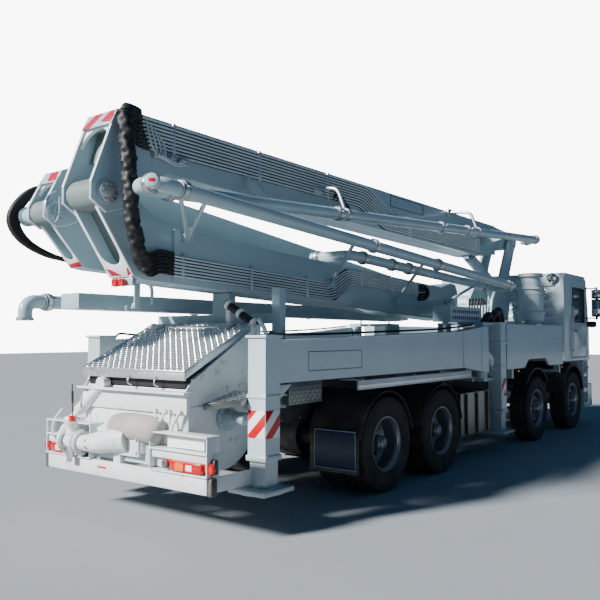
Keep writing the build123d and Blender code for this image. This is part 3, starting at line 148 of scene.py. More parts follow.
def smooth(points, steps=8):
    """A loose curve through points: the Catmull-Rom cubic of each run and its two neighbours."""
    p = np.asarray(points, float)
    p = np.vstack([2 * p[0] - p[1], p, 2 * p[-1] - p[-2]])
    s = np.linspace(0, 1, steps, endpoint=False)[None, :, None]
    a, b, c, d = (p[k:len(p) - 3 + k, None] for k in range(4))
    curve = 0.5 * (2 * b + (c - a) * s + (2 * a - 5 * b + 4 * c - d) * s**2 + (3 * b - a - 3 * c + d) * s**3)
    return np.vstack([curve.reshape(-1, 3), p[-2:-1]])


def tube(path, radius, sides=12, caps=True):
    """A round bar along a path: at each station, radius times the cosine and sine of the angle on two
    directions square to the path. A cap is a last ring drawn in to the station's middle."""
    path = np.asarray(path, float)
    along = unit(np.gradient(path, axis=0))
    across = unit(np.cross(along, SKEW))
    up = np.cross(across, along)
    radius = np.broadcast_to(np.asarray(radius, float), (len(path),))
    if caps:
        path = np.vstack([path[:1], path, path[-1:]])
        across = np.vstack([across[:1], across, across[-1:]])
        up = np.vstack([up[:1], up, up[-1:]])
        radius = np.concatenate([[0.0], radius, [0.0]])
    angle = np.linspace(0, ROUND, sides, endpoint=False)[None, :, None]
    spoke = np.cos(angle) * across[:, None] + np.sin(angle) * up[:, None]
    return grid(path[:, None] + radius[:, None, None] * spoke, close_v=True)


def lathe(profile, centre, axis, sides=32):
    """A profile of (radius, along) rows turned round an axis through centre: centre + along times
    the axis + radius times the cosine and sine of the angle on two square directions."""
    profile = np.asarray(profile, float)
    axis = unit(axis)
    first = unit(np.cross(axis, SKEW))
    second = np.cross(axis, first)
    angle = np.linspace(0, ROUND, sides, endpoint=False)[None, :, None]
    spoke = np.cos(angle) * first + np.sin(angle) * second
    points = np.asarray(centre, float) + profile[:, 1, None, None] * axis + profile[:, 0, None, None] * spoke
    return grid(points, close_v=True)


def ring(centre, axis, radius, width, thick, sides=32):
    """A band round an axis with rolled edges, closed inside: a lathe of its six-point section."""
    w, e = width / 2, min(width, thick) * 0.3
    section = [
        (radius, -w), (radius + thick - e, -w), (radius + thick, e - w),
        (radius + thick, w - e), (radius + thick - e, w), (radius, w), (radius, -w),
    ]
    return lathe(section, centre, axis, sides)


def slab(centre, size, edge=0.004, turn=None):
    """A box with rolled edges and corners. Its section at each height is a rounded rectangle, drawn in
    by the edge times one minus the sine of a quarter turn near the top and bottom faces."""
    half = np.asarray(size, float) / 2
    edge = min(edge, *(half * 0.9))
    quarter = np.linspace(0, math.pi / 2, 3)
    rises, draws = edge * (1 - np.cos(quarter)), edge * (1 - np.sin(quarter))
    heights = np.concatenate([[-half[2]], -half[2] + rises, half[2] - rises[::-1], [half[2]]])
    insets = np.concatenate([[1.0], draws, draws[::-1], [1.0]])
    angle = np.concatenate([quarter + k * math.pi / 2 for k in range(4)])
    signs = np.repeat([[1, 1], [-1, 1], [-1, -1], [1, -1]], 3, axis=0)
    middle = signs * (half[:2] - edge)
    spoke = np.stack([np.cos(angle), np.sin(angle)], -1)
    radius = (edge - insets)[:, None, None]
    flat = middle[None] + np.maximum(radius, 0) * spoke[None]
    flat[0], flat[-1] = 0, 0
    points = np.concatenate([flat, np.broadcast_to(heights[:, None, None], flat.shape[:2] + (1,))], -1)
    if turn is not None:
        points = points @ np.asarray(turn, float)
    return grid(points + np.asarray(centre, float), close_v=True)


def slabs(*rows):
    """One slab for each row of centre, size and edge."""
    return [slab(*row) for row in rows]


def axes(forward, up=UPWARD):
    """Rows of a turned box: its length along forward, then across, then square to both."""
    forward = unit(forward)
    across = unit(np.cross(up, forward))
    return np.stack([forward, across, np.cross(forward, across)])


def bar(start, end, width, depth, edge=0.003, up=UPWARD):
    """A flat bar with rolled edges between two points, as wide across as width and as deep as depth."""
    start, end = np.asarray(start, float), np.asarray(end, float)
    return slab((start + end) / 2, (np.linalg.norm(end - start), width, depth), edge, axes(end - start, up))


def plate(outline, low, high, edge=0.004, plane="xz"):
    """A flat plate with rolled edges from an outline of points: rings drawn in along the corners'
    half-way directions, by the edge at both faces, and each face closed by one many-sided face."""
    p = np.asarray(outline, float)
    ahead, back = unit(np.roll(p, -1, 0) - p), unit(p - np.roll(p, 1, 0))
    out = np.stack([ahead[:, 1] + back[:, 1], -(ahead[:, 0] + back[:, 0])], -1)
    mid = unit(out)
    lean = np.maximum(np.sum(mid * np.stack([ahead[:, 1], -ahead[:, 0]], -1), -1), 0.35)[:, None]
    area = np.sum(p[:, 0] * np.roll(p[:, 1], -1) - p[:, 1] * np.roll(p[:, 0], -1))
    mid = mid / lean * (1 if area > 0 else -1)
    drops = np.array([1.0, 0.3, 0.0, 0.0, 0.3, 1.0]) * edge
    levels = np.array([low, low + 0.3 * edge, low + edge, high - edge, high - 0.3 * edge, high])
    flat = p[None] - drops[:, None, None] * mid[None]
    level = np.broadcast_to(levels[:, None, None], flat.shape[:2] + (1,))
    order = {"xz": (0, 2, 1), "xy": (0, 1, 2)}[plane]
    corners, faces = grid(np.concatenate([flat, level], -1)[..., order], close_v=True)
    last_ring = (len(levels) - 1) * len(p)
    first = np.arange(len(p))
    return corners, faces + [np.stack([first[::-1], first + last_ring])]


def spread(shape, places):
    """The same shape moved to each of many places, as one."""
    corners, faces = shape
    places = np.asarray(places, float).reshape(-1, 3)
    moved = (corners[None] + places[:, None]).reshape(-1, 3)
    shifts = np.arange(len(places))[:, None, None] * len(corners)
    return moved, [(group[None] + shifts).reshape(-1, group.shape[1]) for group in faces]


def laid(shape, origin, first, second):
    """A shape drawn on X and Y, turned so that X runs along first and Y along second, and moved to origin."""
    corners, faces = shape
    first, second = unit(first), unit(second)
    return corners @ np.stack([first, second, np.cross(first, second)]) + np.asarray(origin, float), faces


def hex_bolts(places, axis, radius=0.014, height=0.012):
    """Hexagon heads: a six-sided lathe of a bevelled section, moved to each place."""
    section = [(0, -0.002), (radius, -0.002), (radius, height * 0.75), (radius * 0.85, height), (0, height)]
    return spread(lathe(section, (0, 0, 0), axis, 6), places)


def circle(centre, axis, radius, count):
    """Points spaced evenly round an axis: the centre plus the radius times the cosine and sine of the
    angle on two directions square to the axis."""
    axis = unit(axis)
    first = unit(np.cross(axis, SKEW))
    second = np.cross(axis, first)
    angle = np.linspace(0, ROUND, count, endpoint=False)[:, None]
    return np.asarray(centre, float) + radius * (np.cos(angle) * first + np.sin(angle) * second)


def arch(centre, section, side, first_turn, last_turn, steps):
    """A section of (radius, y) rows carried round an axle: x and z are the centre plus the radius times
    the cosine and sine of the turn, and y is the section's own on the given side."""
    angle = np.linspace(math.radians(first_turn), math.radians(last_turn), steps)[:, None]
    radius, y = np.array(section).T[:, None]
    x, z = centre[0] + radius * np.cos(angle), centre[1] + radius * np.sin(angle)
    return grid(np.stack(np.broadcast_arrays(x, side * y, z), -1), close_v=True)


def piece(name, parts, finish, body, crease=32.0, turn_out=True):
    """Parts become one object at the origin: doubles merged, faces turned outwards, edges sharper
    than the crease angle kept sharp; it takes a finish and rides on a body."""
    corners, faces, start = [], [], 0
    for part_corners, part_faces in parts:
        corners.append(part_corners)
        for group in part_faces:
            faces += (group + start).tolist()
        start += len(part_corners)
    mesh = bpy.data.meshes.new(name)
    mesh.from_pydata(np.concatenate(corners).tolist(), [], faces)
    shape = bmesh.new()
    shape.from_mesh(mesh)
    bmesh.ops.remove_doubles(shape, verts=shape.verts, dist=2e-6)
    if turn_out:
        bmesh.ops.recalc_face_normals(shape, faces=shape.faces)
    shape.to_mesh(mesh)
    shape.free()
    return dress(bpy.data.objects.new(name, mesh), finish, body, crease)


def dress(made, finish, body, crease=32.0):
    """Gives an object its shading, finish and body."""
    mesh = made.data
    bpy.context.scene.collection.objects.link(made)
    mesh.polygons.foreach_set("use_smooth", np.ones(len(mesh.polygons), bool))
    mesh.set_sharp_from_angle(angle=math.radians(crease))
    mesh.materials.clear()
    mesh.materials.append(finish)
    if body:
        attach(made, body)
    return made


def rounded_node(node, width, finish, body, segments=2):
    """A copy of a CAD node with merged corners, flat faces made whole and its edges rolled over."""
    mesh = frame["nodes"][node].data.copy()
    shape = bmesh.new()
    shape.from_mesh(mesh)
    bmesh.ops.remove_doubles(shape, verts=shape.verts, dist=2e-5)
    bmesh.ops.dissolve_limit(shape, angle_limit=math.radians(1.0), verts=shape.verts, edges=shape.edges)
    sharp = [e for e in shape.edges if len(e.link_faces) == 2 and e.calc_face_angle() > math.radians(28)]
    bmesh.ops.bevel(
        shape, geom=sharp, offset=width, offset_type="OFFSET", segments=segments,
        profile=0.5, affect="EDGES", clamp_overlap=True,
    )
    shape.to_mesh(mesh)
    shape.free()
    made = bpy.data.objects.new("dressed_" + node, mesh)
    dress(made, finish, body, 40.0)
    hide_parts(node)


# Finishes
def tint(material, colour, shade):
    """Sets a finish's colour: its broad noise blends from the colour less 1.6 shades to it plus one."""
    tone = material.node_tree.nodes["tone"]
    for socket, share in ((6, 1 - shade * 1.6), (7, 1 + shade)):
        tone.inputs[socket].default_value = tuple(np.clip(np.array(colour) * share, 0, 1)) + (1.0,)


def finish(
    name, colour, rough, metal=0.0, coat=0.0, shade=0.06, grain=40.0, bump=0.05,
    dirt=0.0, dirt_span=(0.25, 1.3), stretch=(1, 1, 1), second=None, cycles=(0, 0, 0),
    clear=0.0, splash=0.0,
):
    """A procedural finish on Object coordinates. A broad noise shifts the colour, a fine one the
    roughness and the bump, dirt gathers below a height, and cement splashes are a thresholded noise.
    A second colour makes bands: it shows where the fraction of place dot cycles is above one half."""
    material = bpy.data.materials.new(name)
    material.use_nodes = True
    tree = material.node_tree
    shader = tree.nodes["Principled BSDF"]

    def node(kind, **values):
        made = tree.nodes.new(kind)
        for key, value in values.items():
            if hasattr(made, key):
                setattr(made, key, value)
            else:
                made.inputs[key].default_value = value
        return made

    def blend_colours(factor, first=None, last=None):
        made = node("ShaderNodeMix", data_type="RGBA")
        tree.links.new(factor, made.inputs[0])
        if first is not None:
            tree.links.new(first, made.inputs[6])
        if last is not None:
            made.inputs[7].default_value = tuple(last) + (1.0,)
        return made

    def span(source, low, high, to_low, to_high):
        made = node("ShaderNodeMapRange")
        tree.links.new(source, made.inputs[0])
        for socket, value in zip((1, 2, 3, 4), (low, high, to_low, to_high)):
            made.inputs[socket].default_value = value
        return made.outputs[0]

    def noise(scale, detail, source):
        made = node("ShaderNodeTexNoise", Scale=scale, Detail=detail, Roughness=0.6)
        tree.links.new(source, made.inputs["Vector"])
        return made.outputs["Fac"]

    place = node("ShaderNodeTexCoord").outputs["Object"]
    mapping = node("ShaderNodeMapping", Scale=stretch)
    tree.links.new(place, mapping.inputs["Vector"])
    fine = noise(grain, 5.0, mapping.outputs[0])
    broad = noise(1.9, 4.0, place)
    tone = blend_colours(span(broad, 0.3, 0.7, 0.0, 1.0))
    tone.name = "tone"
    tint(material, colour, shade)
    if second is not None:
        dot = node("ShaderNodeVectorMath", operation="DOT_PRODUCT")
        tree.links.new(place, dot.inputs[0])
        dot.inputs[1].default_value = cycles
        part = node("ShaderNodeMath", operation="FRACT")
        tree.links.new(dot.outputs["Value"], part.inputs[0])
        above = node("ShaderNodeMath", operation="GREATER_THAN")
        above.inputs[1].default_value = 0.5
        tree.links.new(part.outputs[0], above.inputs[0])
        tone = blend_colours(above.outputs[0], tone.outputs[2], second)
    if dirt:
        split = node("ShaderNodeSeparateXYZ")
        tree.links.new(place, split.inputs[0])
        both = node("ShaderNodeMath", operation="MULTIPLY")
        tree.links.new(span(split.outputs["Z"], dirt_span[0], dirt_span[1], dirt, 0.0), both.inputs[0])
        tree.links.new(span(noise(5.0, 8.0, place), 0.35, 0.65, 0.15, 1.0), both.inputs[1])
        tone = blend_colours(both.outputs[0], tone.outputs[2], ROAD_DIRT)
    if splash:
        least = 0.63 - 0.12 * splash
        spots = span(noise(9.0, 10.0, place), least, least + 0.07, 0.0, 0.8)
        tone = blend_colours(spots, tone.outputs[2], CEMENT_SPOT)
    tree.links.new(tone.outputs[2], shader.inputs["Base Color"])
    sheen = span(fine, 0.3, 0.7, max(rough - 0.07, 0.02), min(rough + 0.08, 1.0))
    tree.links.new(sheen, shader.inputs["Roughness"])
    shader.inputs["Metallic"].default_value = metal
    shader.inputs["Coat Weight"].default_value = coat
    shader.inputs["Coat Roughness"].default_value = 0.08
    shader.inputs["Transmission Weight"].default_value = clear
    if bump:
        relief = node("ShaderNodeBump", Strength=bump, Distance=0.002)
        tree.links.new(fine, relief.inputs["Height"])
        tree.links.new(relief.outputs[0], shader.inputs["Normal"])
    return material


ROAD_DIRT = (0.30, 0.27, 0.23)
CEMENT_SPOT = (0.42, 0.41, 0.39)
BAND_RED = (0.48, 0.0, 0.006)

# Paints that a user would change: each colour, and the shade by which its broad noise shifts it
BODY_COLOUR, BODY_SHADE = (0.45, 0.545, 0.575), 0.035
BOOM_COLOUR, BOOM_SHADE = (0.355, 0.47, 0.515), 0.045
PIPE_COLOUR, PIPE_SHADE = (0.39, 0.51, 0.555), 0.07
HOPPER_COLOUR, HOPPER_SHADE = (0.72, 0.76, 0.76), 0.05

PAINT = finish("cool_white_paint", BODY_COLOUR, 0.28, 0.0, 0.4, BODY_SHADE, 220, 0.03, dirt=0.45)
BOOM_PAINT = finish("boom_paint", BOOM_COLOUR, 0.30, 0.0, 0.35, BOOM_SHADE, 200, 0.03)
PIPE_PAINT = finish("pipe_paint", PIPE_COLOUR, 0.30, 0.0, 0.2, PIPE_SHADE, 120, 0.05, splash=0.08)
HOPPER_PAINT = finish(
    "hopper_paint", HOPPER_COLOUR, 0.40, 0.0, 0.1, HOPPER_SHADE, 90, 0.06, dirt=0.3, splash=0.25
)
FRAME_PAINT = finish("frame_paint", (0.035, 0.040, 0.047), 0.55, shade=0.15, grain=90, bump=0.08, dirt=0.6)
IRON = finish("axle_iron", (0.055, 0.055, 0.058), 0.62, 0.35, shade=0.2, grain=120, bump=0.2, dirt=0.7)
TYRE = finish(
    "tyre_rubber", (0.010, 0.010, 0.011), 0.8, shade=0.2, grain=160, bump=0.25,
    dirt=0.25, dirt_span=(0.0, 1.1),
)
HOSE = finish("hose_rubber", (0.004, 0.004, 0.005), 0.6, shade=0.15, grain=180, bump=0.15)
BLACK = finish("black_plastic", (0.011, 0.012, 0.014), 0.5, shade=0.12, grain=350, bump=0.12, dirt=0.35)
# Dark paint for the rims' dishes and the hub caps deep in the wheels: painted shade over their silver paint,
# with dirt gathering low
RIM_SHADE_PAINT = finish(
    "rim_paint_with_painted_shade", (0.17, 0.20, 0.23), 0.30, 0.6, shade=0.05, grain=120, bump=0.04, dirt=0.5
)
ZINC = finish("zinc_steel", (0.55, 0.57, 0.58), 0.36, 0.9, shade=0.08, grain=160, bump=0.08)
CHROME = finish("chrome_rod", (0.80, 0.81, 0.83), 0.12, 1.0, shade=0.02, grain=60, bump=0.0)
ALLOY = finish("plate_alloy", (0.66, 0.67, 0.67), 0.34, 0.85, shade=0.08, grain=30, bump=0.08, splash=0.1)
TANK_ALLOY = finish(
    "tank_alloy", (0.20, 0.215, 0.20), 0.30, 0.9, shade=0.1, grain=14, bump=0.05, stretch=(1, 1, 14), dirt=0.4
)
GLASS = finish("tinted_glass", (0.30, 0.36, 0.36), 0.05, shade=0.0, grain=2, bump=0.0, clear=0.85)
MIRROR = finish("mirror_glass", (0.75, 0.78, 0.80), 0.06, 1.0, shade=0.0, grain=2, bump=0.0)
TRIM = finish("cab_trim", (0.085, 0.085, 0.09), 0.65, shade=0.1, grain=300, bump=0.2)
RED = finish("red_lens", (0.48, 0.0, 0.002), 0.16, coat=0.6, shade=0.05, grain=120, bump=0.1)
AMBER = finish("amber_lens", (0.80, 0.13, 0.0), 0.16, coat=0.6, shade=0.05, grain=120, bump=0.1)
CLEAR = finish("clear_lens", (0.80, 0.82, 0.84), 0.1, coat=0.8, shade=0.03, grain=90, bump=0.1)
REFLECT = finish("red_reflector", (0.50, 0.0, 0.03), 0.3, shade=0.05, grain=500, bump=0.2)
CHEVRON, CHEVRON_SIDE = (
    finish(name, (0.78, 0.79, 0.80), 0.3, shade=0.02, grain=500, bump=0.1, second=BAND_RED, cycles=cycles)
    for name, cycles in (("chevron_sheet", (0.0, 4.6, 4.6)), ("chevron_sheet_side", (4.6, 0.0, -4.6)))
)
# Near white; on the booms' rear edges and caps it is painted highlight where the sun lights them
WHITE_AND_HIGHLIGHT = finish("white_and_painted_highlight", (0.86, 0.87, 0.87), 0.35, coat=0.3, shade=0.02, grain=220, bump=0.03)
# Dark grey-green for the webs, bosses and slot floors inside the booms' rear ends: painted shade in those
# recesses
WEB_SHADE_PAINT = finish("web_painted_shade", (0.17, 0.215, 0.20), 0.5, shade=0.08, grain=120, bump=0.05)
# The oil lines really share the boom's paint; this lighter copy is painted highlight on them
LINE_HIGHLIGHT_PAINT = finish("line_paint_painted_highlight", (0.58, 0.66, 0.69), 0.30, coat=0.2, shade=0.05, grain=200, bump=0.03)
# A brighter copy of the plate alloy for the chequer studs: painted highlight on their raised tops
STUD_HIGHLIGHT_ALLOY = finish("stud_alloy_painted_highlight", (0.86, 0.87, 0.87), 0.22, 0.9, shade=0.04, grain=60, bump=0.03)
FLAP_SHEET = finish("flap_sheet", (0.012, 0.030, 0.075), 0.4, shade=0.1, grain=60, bump=0.05)
CEMENT = finish("cement_crust", (0.40, 0.38, 0.33), 0.9, shade=0.2, grain=70, bump=0.7)

NODE_FINISH = {
    "tyre": TYRE, "rim": RIM_SHADE_PAINT, "glass": GLASS, "black_plastic": BLACK, "interior": TRIM,
    "lamp": RED, "cast_iron": IRON, "frame_paint": FRAME_PAINT, "aluminium": ALLOY,
    "chrome": CHROME, "body_paint": PAINT,
}
NODE_SPECIAL = {"deck": PAINT, "tanks": TANK_ALLOY, "hopper": HOPPER_PAINT, "pump_unit": HOPPER_PAINT}
SLOTS = {entry["node"]: entry["material_slot"] for entry in frame["record"]["subparts"]}


# Sizes and colours that a user would change
class PumpSizes(bpy.types.PropertyGroup):
    """Sizes of the fine pieces, and the strength of the light"""

    tread_depth: bpy.props.FloatProperty(
        name="Tread depth", description="Depth of the tyres' grooves", default=0.012, unit="LENGTH"
    )
    line_radius: bpy.props.FloatProperty(
        name="Oil line radius", description="Radius of the boom's oil lines", default=0.0105, unit="LENGTH"
    )
    line_pitch: bpy.props.FloatProperty(
        name="Oil line pitch", description="Height from one line to the next", default=0.034, unit="LENGTH"
    )
    hose_radius: bpy.props.FloatProperty(
        name="Hose radius", description="Radius of the hoses over the folds", default=0.017, unit="LENGTH"
    )
    pipe_radius: bpy.props.FloatProperty(
        name="Pipe radius", description="Outer radius of the concrete pipe", default=0.067, unit="LENGTH"
    )
    sun_strength: bpy.props.FloatProperty(
        name="Key light", description="Strength of the soft key light", default=11.0
    )


class PumpColours(bpy.types.PropertyGroup):
    """Colours of the paints, taken up by the finishes' button"""

    body: bpy.props.FloatVectorProperty(
        name="Body paint", description="Colour of the cab and covers", default=BODY_COLOUR, subtype="COLOR"
    )
    boom: bpy.props.FloatVectorProperty(
        name="Boom paint", description="Colour of booms and turret", default=BOOM_COLOUR, subtype="COLOR"
    )
    pipe: bpy.props.FloatVectorProperty(
        name="Pipe paint", description="Colour of the concrete pipe", default=PIPE_COLOUR, subtype="COLOR"
    )
    hopper: bpy.props.FloatVectorProperty(
        name="Hopper paint", description="Colour of hopper and pump", default=HOPPER_COLOUR, subtype="COLOR"
    )


# Pieces
class PUMP_OT_finishes(bpy.types.Operator):
    """Give each node of the frame its finish, and the paints their colours"""

    bl_idname = "pump.finishes"
    bl_label = "Frame finishes"

    def execute(self, context):
        colours = context.scene.pump_colours
        tint(PAINT, colours.body, BODY_SHADE)
        tint(BOOM_PAINT, colours.boom, BOOM_SHADE)
        tint(PIPE_PAINT, colours.pipe, PIPE_SHADE)
        tint(HOPPER_PAINT, colours.hopper, HOPPER_SHADE)
        for name, node in frame["nodes"].items():
            made = NODE_SPECIAL.get(name, NODE_FINISH[SLOTS[name]])
            if name.startswith(("boom_", "turret", "lift_barrel", "pedestal")):
                made = BOOM_PAINT
            if name.startswith("pipe_"):
                made = PIPE_PAINT
            node.data.materials.clear()
            node.data.materials.append(made)
        return {"FINISHED"}


def wheels():
    """Each wheel's body, whether it is a twin, its side, its axle's x and z, and its outer tyre's middle."""
    for number, (x, z) in enumerate(AXLES, 1):
        for side_name, side in SIDES:
            wheel = "wheel_%d_%s" % (number, side_name)
            low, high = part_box(wheel + "_tyre")
            yield wheel, number > 2, side, x, z, max(abs(low.y), abs(high.y)) - HALF_TYRE


def tread_rows():
    """Rows of half a tyre's section from its bead out to its middle, as (across, radius, groove, notch):
    a row sinks by the tread depth times groove, and by the notches' depth times notch where they come."""
    side = [
        (0.1190, 0.289), (0.1210, 0.300), (0.1235, 0.306), (0.134, 0.318), (0.147, 0.345), (0.1545, 0.375),
        (0.1572, 0.403), (0.1562, 0.425), (0.1540, 0.445), (0.1552, 0.449), (0.1535, 0.458),
        (0.1500, 0.470), (0.1482, 0.4725),
    ]
    rows = [(a, r, 0, 0) for a, r in side]
    rows += [(0.1475, 0.476, 0, 0.3), (0.1460, 0.492, 0, 1), (0.1400, 0.508, 0, 1), (0.1290, 0.517, 0, 1)]
    rows += [(0.1080, 0.5185, 0, 1), (0.1050, 0.5187, 0, 0)]
    for middle in (0.086, 0.030):
        crown = 0.5200 - 0.0015 * (middle / 0.12) ** 2
        for step, sunk in ((0.0095, 0), (0.0062, 0), (0.0045, 1), (-0.0045, 1), (-0.0062, 0), (-0.0095, 0)):
            rows.append((middle + step, crown, sunk, 0))
    return rows + [(0.0, 0.5200, 0, 0)]


class PUMP_OT_tyres(bpy.types.Operator):
    """Tyres with a road tread, in place of the frame's plain ones"""

    bl_idname = "pump.tyres"
    bl_label = "Tyres"

    def execute(self, context):
        depth = context.scene.pump_sizes.tread_depth
        notch_depth, around = 0.008, 216
        half = np.array(tread_rows())
        other = half[-2::-1] * (-1, 1, 1, 1)
        inside = np.array([
            (-0.087, 0.289, 0, 0), (-0.122, 0.38, 0, 0), (-0.105, 0.486, 0, 0),
            (0.105, 0.486, 0, 0), (0.122, 0.38, 0, 0), (0.087, 0.289, 0, 0),
        ])
        rows = np.vstack([half, other, inside])
        # Stations round the axle: x and z are the radius, less the grooves and at every fourth station the
        # notches, times the cosine and sine of the turn. The crown's rows move across in a zigzag
        station = np.arange(around)
        turn = np.linspace(0, ROUND, around, endpoint=False)
        zigzag = 0.6 * (0.004 * np.abs((station % 8) - 4) - 0.008)
        gap = (station % 4 == 2).astype(float)
        in_tread = (np.abs(rows[:, 0]) < 0.1) & (rows[:, 1] > 0.5)
        across = rows[:, :1] + in_tread[:, None] * zigzag[None]
        radius = rows[:, 1:2] - depth * rows[:, 2:3] - notch_depth * rows[:, 3:4] * gap[None]
        section = np.stack([radius * np.cos(turn), across, radius * np.sin(turn)], -1)
        for wheel, twin, side, x, z, outer in wheels():
            middles = [outer, outer - TWIN_PITCH] if twin else [outer]
            parts = [grid(section + (x, side * middle, z), close_u=True, close_v=True) for middle in middles]
            made = piece("tread_" + wheel, parts, TYRE, wheel, 28.0)
            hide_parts(wheel + "_tyre")
        return {"FINISHED"}


class PUMP_OT_wheel_fittings(bpy.types.Operator):
    """Wheel nuts, hub caps, valves and rim lips"""

    bl_idname = "pump.wheel_fittings"
    bl_label = "Wheel fittings"

    def execute(self, context):
        lip_section = [
            (0.282, 0.108), (0.291, 0.112), (0.2905, 0.124), (0.281, 0.126), (0.270, 0.112), (0.268, 0.075),
            (0.276, 0.075), (0.282, 0.108),
        ]
        cap_section = [
            (0, 0), (0.088, 0), (0.088, 0.012), (0.074, 0.020), (0.066, 0.038), (0.05, 0.046), (0, 0.048),
        ]
        washer_section = [(0, 0), (0.021, 0), (0.021, 0.005), (0, 0.006)]
        for wheel, twin, side, x, z, outer in wheels():
            face, end = (RIM_Y - 0.131, RIM_Y + 0.060) if twin else (RIM_Y + 0.102, RIM_Y + 0.128)
            axis = (0, side, 0)
            places = circle((x, side * face, z), axis, 0.137, 10)
            nuts = [hex_bolts(places, axis, 0.0165, 0.024)]
            nuts.append(spread(lathe(washer_section, (0, 0, 0), axis, 14), places))
            nuts.append(hex_bolts(circle((x, side * (end + 0.012), z), axis, 0.081, 10), axis, 0.007, 0.007))
            nuts.append(tube([
                (x, side * (face - 0.01), z + 0.2), (x, side * (face + 0.05), z + 0.215),
                (x, side * (face + 0.09), z + 0.22),
            ], 0.005, 8))
            lip = lathe(lip_section, (x, side * outer, z), axis, 72)
            cap = lathe(cap_section, (x, side * end, z), axis, 36)
            piece("rim_lip_" + wheel, [lip], ALLOY, wheel)
            piece("nuts_" + wheel, nuts, IRON, wheel)
            # The caps take the dark rim paint: painted shade deep in the wheel
            piece("cap_" + wheel, [cap], RIM_SHADE_PAINT, wheel)
        return {"FINISHED"}


def oil_lines_a(radius, pitch):
    """Nine lines along boom A's top, bent down behind the bare plate to the boom's low edge, over a dark band
    that is painted shadow between the lines.
    """
    lines = []
    for k in range(9):
        top = 3.685 - k * pitch
        turn_x = -1.14 - 0.03 * k
        lines.append(tube(bend([
            (-5.06 + 0.015 * k, LINES_A_Y, top), (turn_x, LINES_A_Y, top),
            (turn_x + 0.66, LINES_A_Y, 3.41 - 0.027 * k), (2.55, LINES_A_Y, 3.39 - 0.027 * k),
        ], 0.10), radius, 8))
    # A dark band in frame paint behind the lines: painted shadow in the gaps between them
    shadow_band = plate([
        (-5.02, 3.40), (-5.02, 3.698), (-1.13, 3.698), (-0.47, 3.424), (2.56, 3.404), (2.56, 3.16),
        (-0.74, 3.18), (-1.39, 3.40),
    ], -0.215, -0.206, 0.002)
    piece("line_gap_painted_shadow_a", [shadow_band], FRAME_PAINT, "boom_a")
    piece("oil_lines_a", lines, LINE_HIGHLIGHT_PAINT, "boom_a")


def oil_line_fittings_a():
    """Boom A's line clamps, the valve blocks under the lines' rear end, the bowed lines up to them, and
    the black hoses by the pipe's hanger."""
    clamps = [slab((x, -0.226, 3.55), (0.035, 0.03, 0.34), 0.003) for x in (-4.65, -3.4, -2.1)]
    clamps += [slab((x, -0.226, 3.285), (0.035, 0.03, 0.26), 0.003) for x in (0.0, 1.2, 2.4)]
    clamps += [slab((x, -0.235, 3.375), (0.10, 0.05, 0.075), 0.006) for x in (-4.86, -4.70, -4.55)]
    plug = [(0, 0), (0.02, 0), (0.02, 0.03), (0.014, 0.045), (0, 0.045)]
    clamps += [
        lathe(plug, (x, -0.26, 3.375), (0, -1, 0), 16) for x in (-4.88, -4.84, -4.72, -4.68, -4.57, -4.53)
    ]
    piece("oil_line_clamps_a", clamps, ZINC, "boom_a")
    bows = [
        tube(smooth([
            (-5.0 + 0.05 * k, -0.25, 3.66 - 0.034 * k), (-4.98 + 0.06 * k, -0.27, 3.52 - 0.02 * k),
            (-4.93 + 0.05 * k, -0.275, 3.40 - 0.015 * k), (-4.80 + 0.05 * k, -0.26, 3.34 - 0.01 * k),
            (-4.60 + 0.04 * k, -0.245, 3.345),
        ]), 0.0085, 8)
        for k in range(4)
    ]
    piece("oil_line_bows_a", bows, LINE_HIGHLIGHT_PAINT, "boom_a")
    hoses = [
        tube(smooth([
            (-1.98 + s, -0.225, 3.40), (-1.95 + s, -0.27, 3.47), (-1.84 + s, -0.275, 3.44 - s),
            (-1.72 + s, -0.25, 3.34), (-1.66 + s, -0.225, 3.26),
        ]), 0.016, 10)
        for s in (0.0, 0.07)
    ]
    piece("hanger_hoses_a", hoses, HOSE, "boom_a")


def plate_border(name, body, centre, size):
    """The thin border of a bare plate: four strips round a (wide, tall) field that faces the right side."""
    x, y, z = centre
    wide, tall = size
    strips = [slab((x, y, z + s * tall / 2), (wide, 0.006, 0.008), 0.001) for s in (-1, 1)]
    strips += [slab((x + s * wide / 2, y, z), (0.008, 0.006, tall + 0.008), 0.001) for s in (-1, 1)]
    piece(name, strips, FLAP_SHEET, body)


